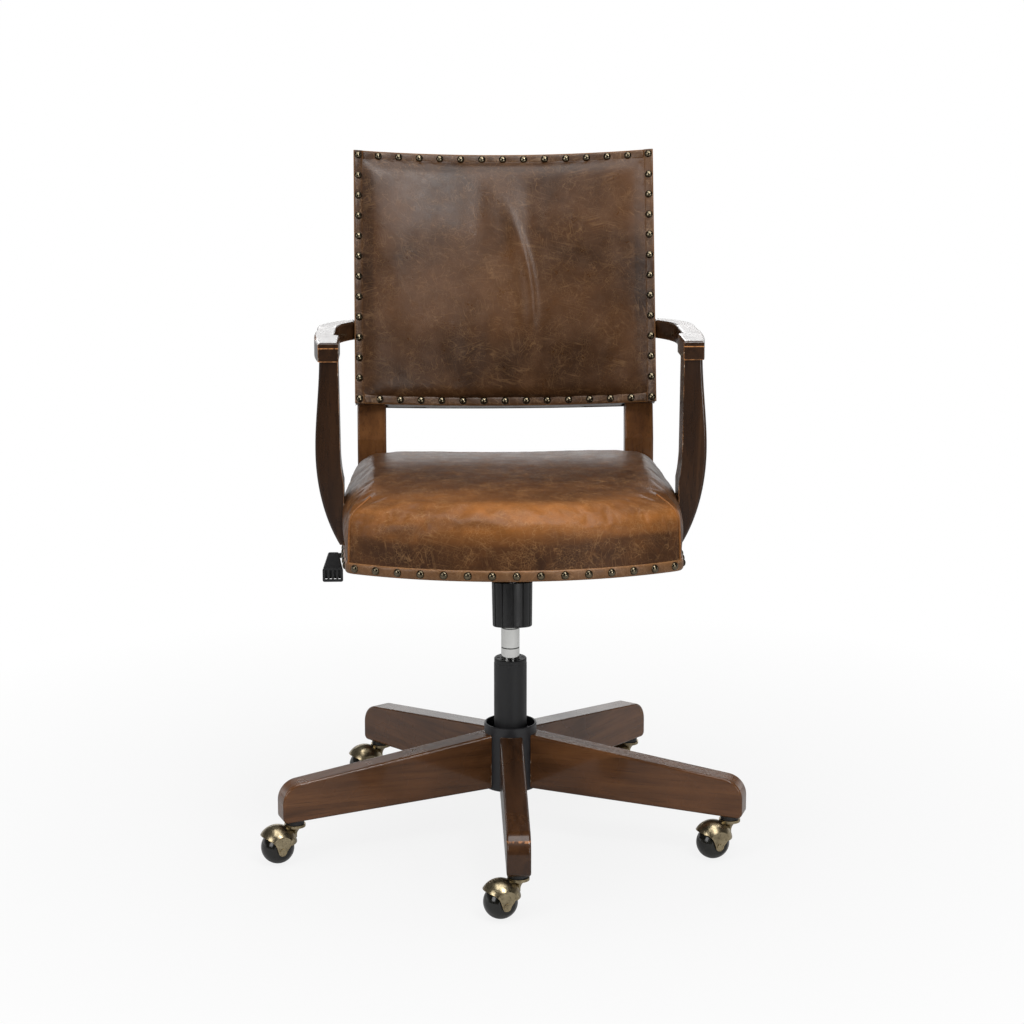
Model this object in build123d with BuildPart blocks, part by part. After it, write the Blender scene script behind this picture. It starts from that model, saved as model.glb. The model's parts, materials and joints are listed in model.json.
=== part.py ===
from build123d import *

import math
import os

# Swivel desk chair: five-legged wooden base on ball casters, gas lift, centre-tilt
# mechanism, bow-fronted leather seat, curved upholstered back and bent wooden arms.
# Millimetres. Origin on the floor under the column, +Z up, the sitter faces -Y.

os.makedirs("parts", exist_ok=True)

# Clearances
weld_gap = 0.1
seat_gap = 0.3
shaft_gap = 0.05
bolt_gap = 0.2
edge_break = 1.0

# Hub and legs of the base
leg_count = 5
hub_diameter = 80.0
hub_wall = 3.0
hub_bottom = 80.0
hub_height = 101.0
hub_plate = 4.0
hub_plate_inset = 14.0
core_diameter = 58.0
leg_thickness = 35.0
leg_reach = 366.0
leg_root_low = 82.0
leg_root_high = 167.0
leg_tip_low = 63.5
leg_tip_high = 121.0
leg_tip_round = 32.0
leg_heel_round = 8.0
leg_edge_round = 3.5
leg_bolt_diameter = 8.0
leg_bolt_length = 52.0
leg_bolt_head = 14.0
leg_bolt_head_height = 5.0
leg_bolt_spacing = 40.0

# Ball casters
caster_inset = 22.0
ball_radius = 25.0
ball_half_width = 21.0
caster_trail = 28.0
caster_heading = 112.0
hood_radius = 29.5
hood_wall = 2.0
hood_rise = 5.0
hood_half_width = 24.0
brim_reach = 26.0
brim_height = 20.0
brim_middle = 16.0
brim_sag = 4.0
ear_radius = 6.6
ear_drop = 1.0
ear_shoulder = 3.0
ear_rise = 8.5
neck_waist = 3.0
neck_drop = 7.0
neck_bend = 6.5
neck_bend_drop = 5.0
flange_radius = 16.0
flange_thickness = 4.0
flange_lip = 1.0
flange_top = 58.0
stem_diameter = 11.0
stem_seat = 8.0
stem_length = 30.0
stem_chamfer = 1.0
axle_diameter = 5.0
axle_head_diameter = 8.5
axle_head_height = 1.2
socket_plate_radius = 14.0
socket_plate_height = 7.0
socket_wall = 1.6
socket_gap = 0.4

# Gas lift
stand_diameter = 50.0
stand_wall = 2.0
stand_bottom = 74.0
stand_top = 275.0
stand_floor = 3.0
taper_angle = 0.8
taper_top = 168.0
bush_flange = 8.0
bush_flange_diameter = 49.4
bush_bottom = 205.0
bush_notches = 8
bush_notch_width = 4.0
bush_notch_length = 5.0
bush_notch_depth = 2.0
cylinder_diameter = 28.0
cylinder_wall = 2.5
cylinder_bottom = 190.0
cylinder_drop = 15.0
cylinder_gland = 12.0
cylinder_cap = 10.0
cylinder_cone = 30.0
cone_angle = 1.5
ring_drops = (128.0, 97.0)
ring_depth = 0.4
ring_width = 1.2
rod_diameter = 10.0
rod_bottom = 66.0
piston_height = 12.0
piston_floor = 2.0
bearing_diameter = 30.0
bearing_height = 7.0
collar_diameter = 18.0
collar_height = 3.5
clip_diameter = 18.0
clip_thickness = 2.0
valve_diameter = 8.0
valve_length = 16.0
valve_drop = 2.9

# Tilt mechanism
tilt_drop = 12.0
housing_half_width = 45.0
housing_wall = 3.0
housing_floor_drop = 31.0
housing_rear = 42.0
housing_rear_drop = 23.0
housing_waist_drop = 13.0
housing_front = 98.0
housing_front_rise = 10.0
housing_heel = 28.0
housing_step = 50.0
socket_outer = 19.0
socket_low_drop = 47.0
socket_high_drop = 12.0
pivot_diameter = 8.0
pivot_ear = 7.0
pivot_head_diameter = 14.0
pivot_head_height = 3.5
ear_thickness = 3.0
ear_gap = 1.0
ear_fore = 13.0
ear_aft = 36.0
ear_depth = 10.0
lug_reach = 72.0
lug_rise = 2.0
knob_tilt = 10.0
knob_drop = 90.0
knob_height = 66.0
knob_low_radius = 29.3
knob_high_radius = 30.3
knob_bore = 23.0
knob_floor = 10.0
knob_round = 3.0
knob_grooves = 12
knob_groove_width = 2.2
knob_groove_depth = 0.7
bolt_diameter = 10.0
bolt_slot_width = 12.0
bolt_slot_length = 18.0
nose_lip = 0.8
nose_notch = 8.0
nose_clear = 8.0
washer_diameter = 42.0
washer_thickness = 2.5
spring_diameter = 38.0
spring_wire = 5.0
spring_turns = 6
lever_diameter = 8.0
lever_rest = 0.5
lever_arm = 26.0
lever_bend = 14.0
lever_reach = 268.0
lever_end_back = 60.0
lever_end_drop = 13.0
lever_end_front = 34.0
grip_front = 0.0
grip_rear = 52.0
grip_front_width = 31.0
grip_rear_width = 17.0
grip_front_low_drop = 39.0
grip_front_high_drop = 18.0
grip_rear_low_drop = 22.0
grip_rear_high_drop = 6.0
grip_round = 3.0
grip_slots = 4
grip_slot_pitch = 6.6
grip_slot_width = 3.4
grip_slot_depth = 9.0
grip_slot_wall = 2.5

# Seat
seat_height = 455.0
seat_rake = 3.6
seat_front_half = 242.0
seat_middle_half = 248.0
seat_rear_half = 238.0
seat_front = 190.0
seat_bow = 75.0
seat_rear = 207.0
seat_corner = 24.0
seat_crown = 120.0
seat_crown_back = 70.0
seat_crown_radius = 2200.0
seat_roll = 23.0
board_thickness = 15.0
board_inset = 8.0
rail_outer = 232.0
rail_thickness = 28.0
rail_height = 55.0
rail_length = 330.0
rail_back = 10.0
cover_thickness = 1.0
cover_inset = 14.0
band_height = 16.0
band_thickness = 2.0
plate_width = 190.0
plate_length = 220.0
plate_thickness = 3.0
plate_corner = 14.0
plate_fore = 5.0
screw_across = 160.0
screw_along = 186.0
screw_diameter = 5.0
screw_length = 14.0
screw_head = 9.5
screw_head_height = 3.0

# Back
back_lean = 18.0
stile_width = 45.0
stile_outer = 232.5
stile_foot = 6.0
stile_thickness = 32.0
stile_top_thickness = 24.0
stile_knee = 135.0
stile_notch = 48.0
stile_edge_round = 3.0
panel_rise = 54.0
panel_height = 400.0
panel_width = 471.0
panel_bow = 45.0
panel_border = 14.0
panel_step = 17.0
panel_wing = 2.7
panel_top_gap = 8.0
turn_over = 5.0
cushion_border = 16.0
cushion_step = 9.0
cushion_crown = 17.0
cushion_round = 7.0
cushion_root = 1.0
band_width = 15.0
back_band_thickness = 1.6
back_rail_thickness = 20.0
top_rail_height = 62.0
bottom_rail_height = 54.0
cover_bulge = 27.0
back_cover_thickness = 3.0

# Arms
arm_top = 319.0
arm_thickness = 28.0
arm_front = -65.0
arm_front_outer = 284.0
arm_front_inner = 254.0
arm_block_back = 38.0
arm_cove = 24.0
arm_waist_inner = 262.0
arm_belly_outer = 293.0
arm_belly_back = 70.0
arm_turn_back = 140.0
arm_flare = 3.0
arm_turn_bulge = 11.0
arm_turn_drop = 42.0
arm_crook_bulge = 4.0
arm_crook_drop = 32.0
arm_crook_start = 128.0
arm_cove_depth = 2.0
arm_end_front = 226.0
arm_end_back = 264.0
arm_edge_round = 4.0
post_depth = 60.0
post_setback = 3.0
post_top_outer = 282.5
post_top_inner = 255.0
post_belly_outer = 289.5
post_belly_inner = 253.2
post_belly = 145.0
post_throat = 108.0
post_throat_step = 3.0
post_throat_rise = 18.0
post_throat_top = 155.0
post_foot = 17.5
post_toe = 7.0
post_taper = 2.5
post_sweep = 9.0
arm_bolt_diameter = 8.0
arm_bolt_length = 58.0
arm_bolt_head = 13.0
arm_bolt_head_height = 4.0
arm_bolt_level = 42.0
arm_bolt_pitch = 32.0

# Heights that follow the seat's, and the casters' circle that follows the legs
caster_circle = leg_reach - caster_inset
tilt_height = seat_height - tilt_drop
valve_top = tilt_height - valve_drop
cylinder_top = tilt_height - cylinder_drop
ring_heights = [cylinder_top - drop for drop in ring_drops]
housing_floor = tilt_height - housing_floor_drop
housing_rear_high = tilt_height - housing_rear_drop
housing_waist = tilt_height - housing_waist_drop
housing_front_high = tilt_height + housing_front_rise
socket_low = tilt_height - socket_low_drop
socket_high = tilt_height - socket_high_drop
lug_low = tilt_height + lug_rise
lever_height = valve_top + lever_diameter / 2 + lever_rest
lever_end_height = tilt_height - lever_end_drop
grip_front_low = tilt_height - grip_front_low_drop
grip_front_high = tilt_height - grip_front_high_drop
grip_rear_low = tilt_height - grip_rear_low_drop
grip_rear_high = tilt_height - grip_rear_high_drop


def save(piece, name):
    """Labels a finished piece and writes it to its own file."""
    piece.part.label = name
    export_step(piece.part, f"parts/{name}.step")


def heading(angle):
    """Level direction at an angle from the front of the chair, towards its left side."""
    turn = math.radians(angle)
    return Vector(math.sin(turn), -math.cos(turn), 0)


def upright(origin, direction):
    """Vertical plane through a point whose x runs along a level direction and whose y is up."""
    return Plane(origin=origin, x_dir=direction, z_dir=direction.cross(Vector(0, 0, 1)))


# Five-legged base: a steel hub tube with a welded core that takes the gas lift's taper
hub_radius = hub_diameter / 2
hub_inner = hub_radius - hub_wall
hub_top = hub_bottom + hub_height
leg_angles = [index * 360 / leg_count for index in range(leg_count)]
root_middle = (leg_root_low + leg_root_high) / 2
leg_bolt_heights = (root_middle - leg_bolt_spacing / 2, root_middle + leg_bolt_spacing / 2)
leg_bolt_hole = leg_bolt_diameter + 2 * bolt_gap

with BuildPart() as hub_tube:
    with BuildSketch(Plane.XY.offset(hub_bottom)):
        Circle(hub_radius)
        Circle(hub_inner, mode=Mode.SUBTRACT)
    extrude(amount=hub_height)
    chamfer(hub_tube.edges().group_by(Axis.Z)[-1], length=edge_break)
    for angle in leg_angles:
        for height in leg_bolt_heights:
            with BuildSketch(Plane(origin=(0, 0, height), z_dir=heading(angle))):
                Circle(leg_bolt_hole / 2)
            extrude(amount=hub_radius + leg_thickness, mode=Mode.SUBTRACT)
save(hub_tube, "hub_tube")


def stand_radius(height):
    """Outer radius of the stand tube, whose lower end is a slow taper."""
    return stand_diameter / 2 - max(0.0, taper_top - height) * math.tan(math.radians(taper_angle))


core_low = hub_bottom + hub_plate
core_high = hub_top - hub_plate_inset
with BuildPart() as hub_core:
    with BuildSketch(Plane.XZ):
        with BuildLine():
            Polyline(
                (stand_radius(core_low) + weld_gap, core_low),
                (hub_inner - weld_gap, core_low),
                (hub_inner - weld_gap, core_low + hub_plate),
                (core_diameter / 2, core_low + hub_plate),
                (core_diameter / 2, core_high - hub_plate),
                (hub_inner - weld_gap, core_high - hub_plate),
                (hub_inner - weld_gap, core_high),
                (stand_radius(core_high) + weld_gap, core_high),
                close=True,
            )
        make_face()
    revolve(axis=Axis.Z)
save(hub_core, "hub_core")

bolt_seat = math.sqrt(hub_inner**2 - (leg_bolt_head / 2) ** 2)
bolt_reach = bolt_seat + leg_bolt_length
plate_top = flange_top + socket_gap + socket_plate_height
socket_top = flange_top - stem_seat + stem_length + socket_wall
socket_bore = stem_diameter / 2 + shaft_gap
socket_radius = socket_bore + socket_wall


# One leg as a tapering board with a rounded tip, coped to the hub and bored for its caster
front = heading(0)
leg_plane = upright((0, 0, 0), front)
caster_spot = front * caster_circle
with BuildPart() as front_leg:
    with BuildSketch(leg_plane) as leg_outline:
        with BuildLine():
            Polyline(
                (hub_inner, leg_root_low),
                (leg_reach, leg_tip_low),
                (leg_reach, leg_tip_high),
                (hub_inner, leg_root_high),
                close=True,
            )
        make_face()
        fillet(leg_outline.vertices().group_by(Axis.X)[-1].sort_by(Axis.Y)[0], leg_heel_round)
        tip_span = (leg_tip_high - edge_break, leg_tip_high + edge_break)
        fillet(leg_outline.vertices().filter_by_position(Axis.Y, *tip_span), leg_tip_round)
    extrude(amount=leg_thickness / 2, both=True)
    board_edges = front_leg.edges().filter_by(lambda edge: abs(edge.tangent_at(0.5).X) < 0.5)
    fillet(board_edges.filter_by(lambda edge: edge.center().dot(front) > hub_radius), leg_edge_round)
    Cylinder(hub_radius + weld_gap, 2 * hub_top, mode=Mode.SUBTRACT)
    for height in leg_bolt_heights:
        with BuildSketch(Plane(origin=(0, 0, height), z_dir=front)):
            Circle(leg_bolt_hole / 2)
        extrude(amount=bolt_reach + bolt_gap, mode=Mode.SUBTRACT)
    with BuildSketch(Plane(origin=caster_spot)):
        Circle(socket_plate_radius + weld_gap)
    extrude(amount=plate_top, mode=Mode.SUBTRACT)
    with BuildSketch(Plane(origin=caster_spot)):
        Circle(socket_radius + weld_gap)
    extrude(amount=socket_top + weld_gap, mode=Mode.SUBTRACT)

for index, angle in enumerate(leg_angles):
    with BuildPart() as leg:
        add(front_leg.part, rotation=(0, 0, angle))
    save(leg, f"leg_{index + 1}")

with BuildPart() as leg_bolts:
    for angle in leg_angles:
        for height in leg_bolt_heights:
            shank_start = Vector(0, 0, height) + heading(angle) * (bolt_seat - leg_bolt_head_height)
            with BuildSketch(Plane(origin=shank_start, z_dir=heading(angle))):
                Circle(leg_bolt_diameter / 2)
            extrude(amount=leg_bolt_length + leg_bolt_head_height)
            with BuildSketch(Plane(origin=shank_start, z_dir=heading(angle))):
                Circle(leg_bolt_head / 2)
            extrude(amount=leg_bolt_head_height)
save(leg_bolts, "leg_bolts")

with BuildPart() as caster_sockets:
    for angle in leg_angles:
        spot = heading(angle) * caster_circle
        with BuildSketch(Plane(origin=spot + Vector(0, 0, flange_top + socket_gap))):
            Circle(socket_plate_radius)
        extrude(amount=socket_plate_height)
        with BuildSketch(Plane(origin=spot + Vector(0, 0, plate_top))):
            Circle(socket_radius)
        extrude(amount=socket_top - plate_top)
        with BuildSketch(Plane(origin=spot)):
            Circle(socket_bore)
        extrude(amount=socket_top - socket_wall + weld_gap, mode=Mode.SUBTRACT)
save(caster_sockets, "caster_sockets")

# Ball casters: a domed brass hood with two ears, a stem on top and a ball on an axle.
# One caster is made with its stem over the origin, and all five trail the same way.
flange_low = flange_top - flange_thickness
ear_height = -ear_drop
to_stem = heading(caster_heading)
ball_centre = Vector(0, 0, ball_radius) - to_stem * caster_trail
hood_centre = ball_centre + Vector(0, 0, hood_rise)
caster_side = upright(ball_centre, to_stem)
stem_foot = Plane.XY.offset(flange_top - stem_seat)
cover_size = 4 * hood_radius

with BuildPart() as hood_cavity:
    with Locations(hood_centre):
        Sphere(hood_radius - hood_wall)
    with BuildSketch(caster_side):
        Rectangle(cover_size, cover_size)
    extrude(amount=hood_half_width - hood_wall, both=True, mode=Mode.INTERSECT)

with BuildPart() as caster_horn:
    with Locations(hood_centre):
        Sphere(hood_radius)
    with BuildSketch(caster_side):
        with BuildLine():
            brim = ThreePointArc(
                (-brim_reach - hood_wall, brim_height),
                (-brim_middle, brim_height - brim_sag),
                (-ear_radius - ear_shoulder, ear_height + ear_rise),
            )
            front_edge = Line(brim @ 1, (-ear_radius, ear_height))
            ear = ThreePointArc(front_edge @ 1, (0, ear_height - ear_radius), (ear_radius, ear_height))
            Polyline(
                ear @ 1,
                (2 * ear_radius, ear_height + ear_rise),
                (cover_size, ear_height + 2 * ear_rise),
                (cover_size, cover_size),
                (-brim_reach - hood_wall, cover_size),
                brim @ 0,
            )
        make_face()
    extrude(amount=hood_half_width, both=True, mode=Mode.INTERSECT)
    with BuildSketch(upright((0, 0, 0), to_stem)):
        with BuildLine():
            waist_height = ball_radius + hood_rise + neck_drop
            flare = ThreePointArc(
                (neck_waist, waist_height),
                (neck_bend, flange_low - neck_bend_drop),
                (flange_radius - flange_lip, flange_low),
            )
            Polyline(
                flare @ 1,
                (flange_radius, flange_low),
                (flange_radius, flange_top),
                (0, flange_top),
                (0, waist_height),
                flare @ 0,
            )
        make_face()
    revolve(axis=Axis.Z)
    add(hood_cavity.part, mode=Mode.SUBTRACT)
    with BuildSketch(caster_side):
        Circle(axle_diameter / 2 + shaft_gap)
    extrude(amount=cover_size, both=True, mode=Mode.SUBTRACT)
    with BuildSketch(stem_foot):
        Circle(stem_diameter / 2 + shaft_gap)
    extrude(amount=2 * stem_seat, mode=Mode.SUBTRACT)

with BuildPart() as caster_pins:
    with BuildSketch(stem_foot):
        Circle(stem_diameter / 2)
    extrude(amount=stem_length)
    chamfer(caster_pins.edges().group_by(Axis.Z)[-1], length=stem_chamfer)
    with BuildSketch(caster_side):
        Circle(axle_diameter / 2)
    extrude(amount=hood_half_width + axle_head_height, both=True)
    for head_face in (hood_half_width, -hood_half_width - axle_head_height):
        with BuildSketch(caster_side.offset(head_face)):
            Circle(axle_head_diameter / 2)
        extrude(amount=axle_head_height)

with BuildPart() as caster_wheel:
    with Locations(ball_centre):
        Sphere(ball_radius)
    with BuildSketch(caster_side):
        Rectangle(cover_size, cover_size)
    extrude(amount=ball_half_width, both=True, mode=Mode.INTERSECT)
    with BuildSketch(caster_side):
        Circle(axle_diameter / 2 + shaft_gap)
    extrude(amount=cover_size, both=True, mode=Mode.SUBTRACT)

caster_pieces = {"caster_horn": caster_horn, "caster_pins": caster_pins, "caster_wheel": caster_wheel}
for index, angle in enumerate(leg_angles):
    for name, master in caster_pieces.items():
        with BuildPart() as placed:
            with Locations(heading(angle) * caster_circle):
                add(master.part)
        save(placed, f"{name}_{index + 1}")

# Gas lift: the stand tube wedges in the hub core, its bush guides the chromed cylinder
with BuildPart() as stand_tube:
    with BuildSketch(Plane.XZ):
        with BuildLine():
            Polyline(
                (rod_diameter / 2 + shaft_gap, stand_bottom),
                (stand_radius(stand_bottom), stand_bottom),
                (stand_radius(taper_top), taper_top),
                (stand_diameter / 2, stand_top),
                (stand_diameter / 2 - stand_wall, stand_top),
                (stand_radius(taper_top) - stand_wall, taper_top),
                (stand_radius(stand_bottom + stand_floor) - stand_wall, stand_bottom + stand_floor),
                (rod_diameter / 2 + shaft_gap, stand_bottom + stand_floor),
                close=True,
            )
        make_face()
    revolve(axis=Axis.Z)
save(stand_tube, "stand_tube")

bush_outer = stand_diameter / 2 - stand_wall - weld_gap
bush_bore = cylinder_diameter / 2 + shaft_gap
bush_top = stand_top + weld_gap + bush_flange
with BuildPart() as guide_bush:
    with BuildSketch(Plane.XZ):
        with BuildLine():
            Polyline(
                (bush_bore, bush_bottom),
                (bush_outer, bush_bottom),
                (bush_outer, stand_top + weld_gap),
                (bush_flange_diameter / 2, stand_top + weld_gap),
                (bush_flange_diameter / 2, bush_top),
                (bush_bore, bush_top),
                close=True,
            )
        make_face()
    revolve(axis=Axis.Z)
    chamfer(guide_bush.edges().group_by(Axis.Z)[-1].sort_by(SortBy.RADIUS)[-1], length=edge_break)
    with PolarLocations((bush_bore + bush_outer) / 2, bush_notches):
        with Locations((0, 0, bush_top)):
            Box(bush_notch_length, bush_notch_width, 2 * bush_notch_depth, mode=Mode.SUBTRACT)
save(guide_bush, "guide_bush")

bearing_floor = stand_bottom + stand_floor
with BuildPart() as thrust_bearing:
    with BuildSketch(Plane.XY.offset(bearing_floor)):
        Circle(bearing_diameter / 2)
        Circle(rod_diameter / 2 + shaft_gap, mode=Mode.SUBTRACT)
    extrude(amount=bearing_height)
    with BuildSketch(Plane.XZ):
        with Locations((bearing_diameter / 2, bearing_floor + bearing_height / 2)):
            Circle(bearing_height / 4)
    revolve(axis=Axis.Z, mode=Mode.SUBTRACT)
save(thrust_bearing, "thrust_bearing")

collar_low = bearing_floor + bearing_height + shaft_gap
piston_low = cylinder_bottom + cylinder_gland + piston_floor
piston_radius = cylinder_diameter / 2 - cylinder_wall - shaft_gap
rod_top = piston_low + piston_height
with BuildPart() as piston_rod:
    with BuildSketch(Plane.XY.offset(rod_bottom)):
        Circle(rod_diameter / 2)
    extrude(amount=rod_top - rod_bottom)
    with BuildSketch(Plane.XY.offset(collar_low)):
        Circle(collar_diameter / 2)
    extrude(amount=collar_height)
    with BuildSketch(Plane.XY.offset(piston_low)):
        Circle(piston_radius)
    extrude(amount=piston_height)
    chamfer(piston_rod.edges().group_by(Axis.Z)[0], length=edge_break)
save(piston_rod, "piston_rod")

with BuildPart() as rod_clip:
    with BuildSketch(Plane.XY.offset(stand_bottom - seat_gap - clip_thickness)):
        Circle(clip_diameter / 2)
        Circle(rod_diameter / 2 + weld_gap, mode=Mode.SUBTRACT)
    extrude(amount=clip_thickness)
save(rod_clip, "rod_clip")

cone_start = cylinder_top - cylinder_cone


def cylinder_radius(height):
    """Outer radius of the gas cylinder, whose upper end is a short taper."""
    return cylinder_diameter / 2 - max(0.0, height - cone_start) * math.tan(math.radians(cone_angle))


with BuildPart() as gas_cylinder:
    with BuildSketch(Plane.XZ):
        with BuildLine():
            Polyline(
                (rod_diameter / 2 + shaft_gap, cylinder_bottom),
                (cylinder_radius(cylinder_bottom), cylinder_bottom),
                (cylinder_radius(cone_start), cone_start),
                (cylinder_radius(cylinder_top), cylinder_top),
                (valve_diameter / 2 + shaft_gap, cylinder_top),
                (valve_diameter / 2 + shaft_gap, cylinder_top - cylinder_cap),
                (cylinder_diameter / 2 - cylinder_wall, cylinder_top - cylinder_cap),
                (cylinder_diameter / 2 - cylinder_wall, cylinder_bottom + cylinder_gland),
                (rod_diameter / 2 + shaft_gap, cylinder_bottom + cylinder_gland),
                close=True,
            )
        make_face()
    revolve(axis=Axis.Z)
    for height in ring_heights:
        with BuildSketch(Plane.XY.offset(height)):
            Circle(cylinder_diameter / 2 + ring_width)
            Circle(cylinder_diameter / 2 - ring_depth, mode=Mode.SUBTRACT)
        extrude(amount=ring_width, mode=Mode.SUBTRACT)
save(gas_cylinder, "gas_cylinder")

with BuildPart() as valve_pin:
    with BuildSketch(Plane.XZ):
        with BuildLine():
            shoulder = valve_top - valve_diameter / 2
            dome = CenterArc((0, shoulder), valve_diameter / 2, 0, 90)
            valve_foot = valve_top - valve_length
            Polyline(dome @ 1, (0, valve_foot), (valve_diameter / 2, valve_foot), dome @ 0)
        make_face()
    revolve(axis=Axis.Z)
save(valve_pin, "valve_pin")

# Tilt mechanism: a pressed housing on the cylinder's taper, pivoted over the column
lean_knob = math.radians(knob_tilt)
bolt_plane = Plane(
    origin=(0, -lug_reach, lug_low),
    x_dir=(1, 0, 0),
    z_dir=(0, math.sin(lean_knob), math.cos(lean_knob)),
)
bolt_axis = Axis(bolt_plane.origin, bolt_plane.z_dir)
bolt_section = Plane(origin=bolt_plane.origin, x_dir=(1, 0, 0), z_dir=-bolt_plane.y_dir)


def lug_height(reach):
    """Height of the housing's nose, square to the tension bolt, at a distance in front of the column."""
    return lug_low + (reach - lug_reach) * math.tan(lean_knob)


with BuildPart() as mech_housing:
    with BuildSketch(Plane.YZ):
        with BuildLine():
            crest = ThreePointArc(
                (pivot_ear, tilt_height), (0, tilt_height + pivot_ear), (-pivot_ear, tilt_height)
            )
            Polyline(
                crest @ 1,
                (-pivot_ear - housing_wall, tilt_height - pivot_ear),
                (-housing_front, housing_front_high),
                (-housing_front, lug_height(housing_front)),
                (-housing_step, lug_height(housing_step)),
                (-housing_heel, housing_floor),
                (housing_rear, housing_floor),
                (housing_rear, housing_rear_high),
                (pivot_ear + housing_wall, housing_waist),
                crest @ 0,
            )
        make_face()
    extrude(amount=housing_half_width, both=True)
    with BuildSketch(Plane.YZ):
        with BuildLine():
            Polyline(
                (-housing_front + housing_wall, 2 * tilt_height),
                (-housing_front + housing_wall, lug_height(housing_front) + housing_wall),
                (-housing_step, lug_height(housing_step) + housing_wall),
                (-housing_heel, housing_floor + housing_wall),
                (housing_rear - housing_wall, housing_floor + housing_wall),
                (housing_rear - housing_wall, 2 * tilt_height),
                close=True,
            )
        make_face()
    extrude(amount=housing_half_width - housing_wall, both=True, mode=Mode.SUBTRACT)
    with BuildSketch(Plane.XY.offset(socket_low)):
        Circle(socket_outer)
    extrude(amount=socket_high - socket_low)
    with BuildSketch(Plane.XZ):
        with BuildLine():
            Polyline(
                (0, socket_low),
                (cylinder_radius(socket_low) + weld_gap, socket_low),
                (cylinder_radius(cone_start) + weld_gap, cone_start),
                (cylinder_radius(socket_high) + weld_gap, socket_high),
                (0, socket_high),
                close=True,
            )
        make_face()
    revolve(axis=Axis.Z, mode=Mode.SUBTRACT)
    with BuildSketch(Plane.YZ):
        with Locations((0, tilt_height)):
            Circle(pivot_diameter / 2 + weld_gap)
    extrude(amount=2 * housing_half_width, both=True, mode=Mode.SUBTRACT)
    with BuildSketch(bolt_plane):
        with Locations((0, bolt_slot_width / 2 - bolt_slot_length / 2)):
            SlotOverall(bolt_slot_length, bolt_slot_width, rotation=90)
    extrude(amount=2 * housing_wall, both=True, mode=Mode.SUBTRACT)
    knob_room = knob_high_radius + nose_clear
    with BuildSketch(bolt_plane):
        Circle(knob_room)
        Circle(spring_diameter / 2 + nose_lip, mode=Mode.SUBTRACT)
        with Locations((0, knob_room - nose_notch)):
            Rectangle(2 * knob_room, 2 * knob_room, mode=Mode.SUBTRACT)
    extrude(amount=housing_half_width, both=True, mode=Mode.SUBTRACT)
save(mech_housing, "mech_housing")

ear_inner = housing_half_width + ear_gap
ear_outer = ear_inner + ear_thickness
with BuildPart() as pivot_pins:
    with BuildSketch(Plane.YZ.offset(housing_half_width - 2 * housing_wall)):
        with Locations((0, tilt_height)):
            Circle(pivot_diameter / 2)
    extrude(amount=ear_outer + seat_gap - housing_half_width + 2 * housing_wall)
    with BuildSketch(Plane.YZ.offset(ear_outer + seat_gap)):
        with Locations((0, tilt_height)):
            Circle(pivot_head_diameter / 2)
    extrude(amount=pivot_head_height)
    mirror(about=Plane.YZ)
save(pivot_pins, "pivot_pins")

# Tension spring between the housing's nose and the knob, wound as one unbroken wire
knob_base = -knob_drop
washer_low = knob_base + knob_floor + weld_gap
spring_low = washer_low + washer_thickness + weld_gap + spring_wire / 2
spring_high = -spring_wire / 2 - weld_gap
spring_radius = (spring_diameter - spring_wire) / 2
quarter_turns = 4 * spring_turns
spring_slope = (spring_high - spring_low) / (spring_turns * 2 * math.pi)


def spring_point(turn):
    """Point on the spring's centre line at an angle in radians."""
    local = (spring_radius * math.cos(turn), spring_radius * math.sin(turn), spring_low + spring_slope * turn)
    return bolt_plane.from_local_coords(Vector(*local))


def spring_heading(turn):
    """Direction of the spring's wire at an angle in radians."""
    ahead = Vector(-spring_radius * math.sin(turn), spring_radius * math.cos(turn), spring_slope)
    return (bolt_plane.from_local_coords(ahead) - bolt_plane.origin).normalized()


def biarc_joint(start, end):
    """Point where two arcs, tangent to the wire at both ends of a stretch, meet."""
    chord = spring_point(end) - spring_point(start)
    first, last = spring_heading(start), spring_heading(end)
    bend = 2 * (1 - first.dot(last))
    along = chord.dot(first + last)
    reach = (math.sqrt(along**2 + bend * chord.dot(chord)) - along) / bend
    return (spring_point(start) + first * reach + spring_point(end) - last * reach) * 0.5


with BuildPart() as tension_spring:
    with BuildLine() as wire_path:
        for quarter in range(quarter_turns):
            start, end = quarter * math.pi / 2, (quarter + 1) * math.pi / 2
            joint = biarc_joint(start, end)
            first_arc = TangentArc(spring_point(start), joint, tangent=spring_heading(start))
            TangentArc(joint, spring_point(end), tangent=first_arc % 1)
    with BuildSketch(Plane(origin=spring_point(0), z_dir=spring_heading(0))):
        Circle(spring_wire / 2)
    sweep()
save(tension_spring, "tension_spring")
turn_pitch = (spring_high - spring_low) / spring_turns
print(f"tension spring, least gap between turns {turn_pitch - spring_wire:.2f} mm")

with BuildPart() as spring_washer:
    with BuildSketch(bolt_plane.offset(washer_low)):
        Circle(washer_diameter / 2)
        Circle(bolt_diameter / 2 + shaft_gap, mode=Mode.SUBTRACT)
    extrude(amount=washer_thickness)
save(spring_washer, "spring_washer")

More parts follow.
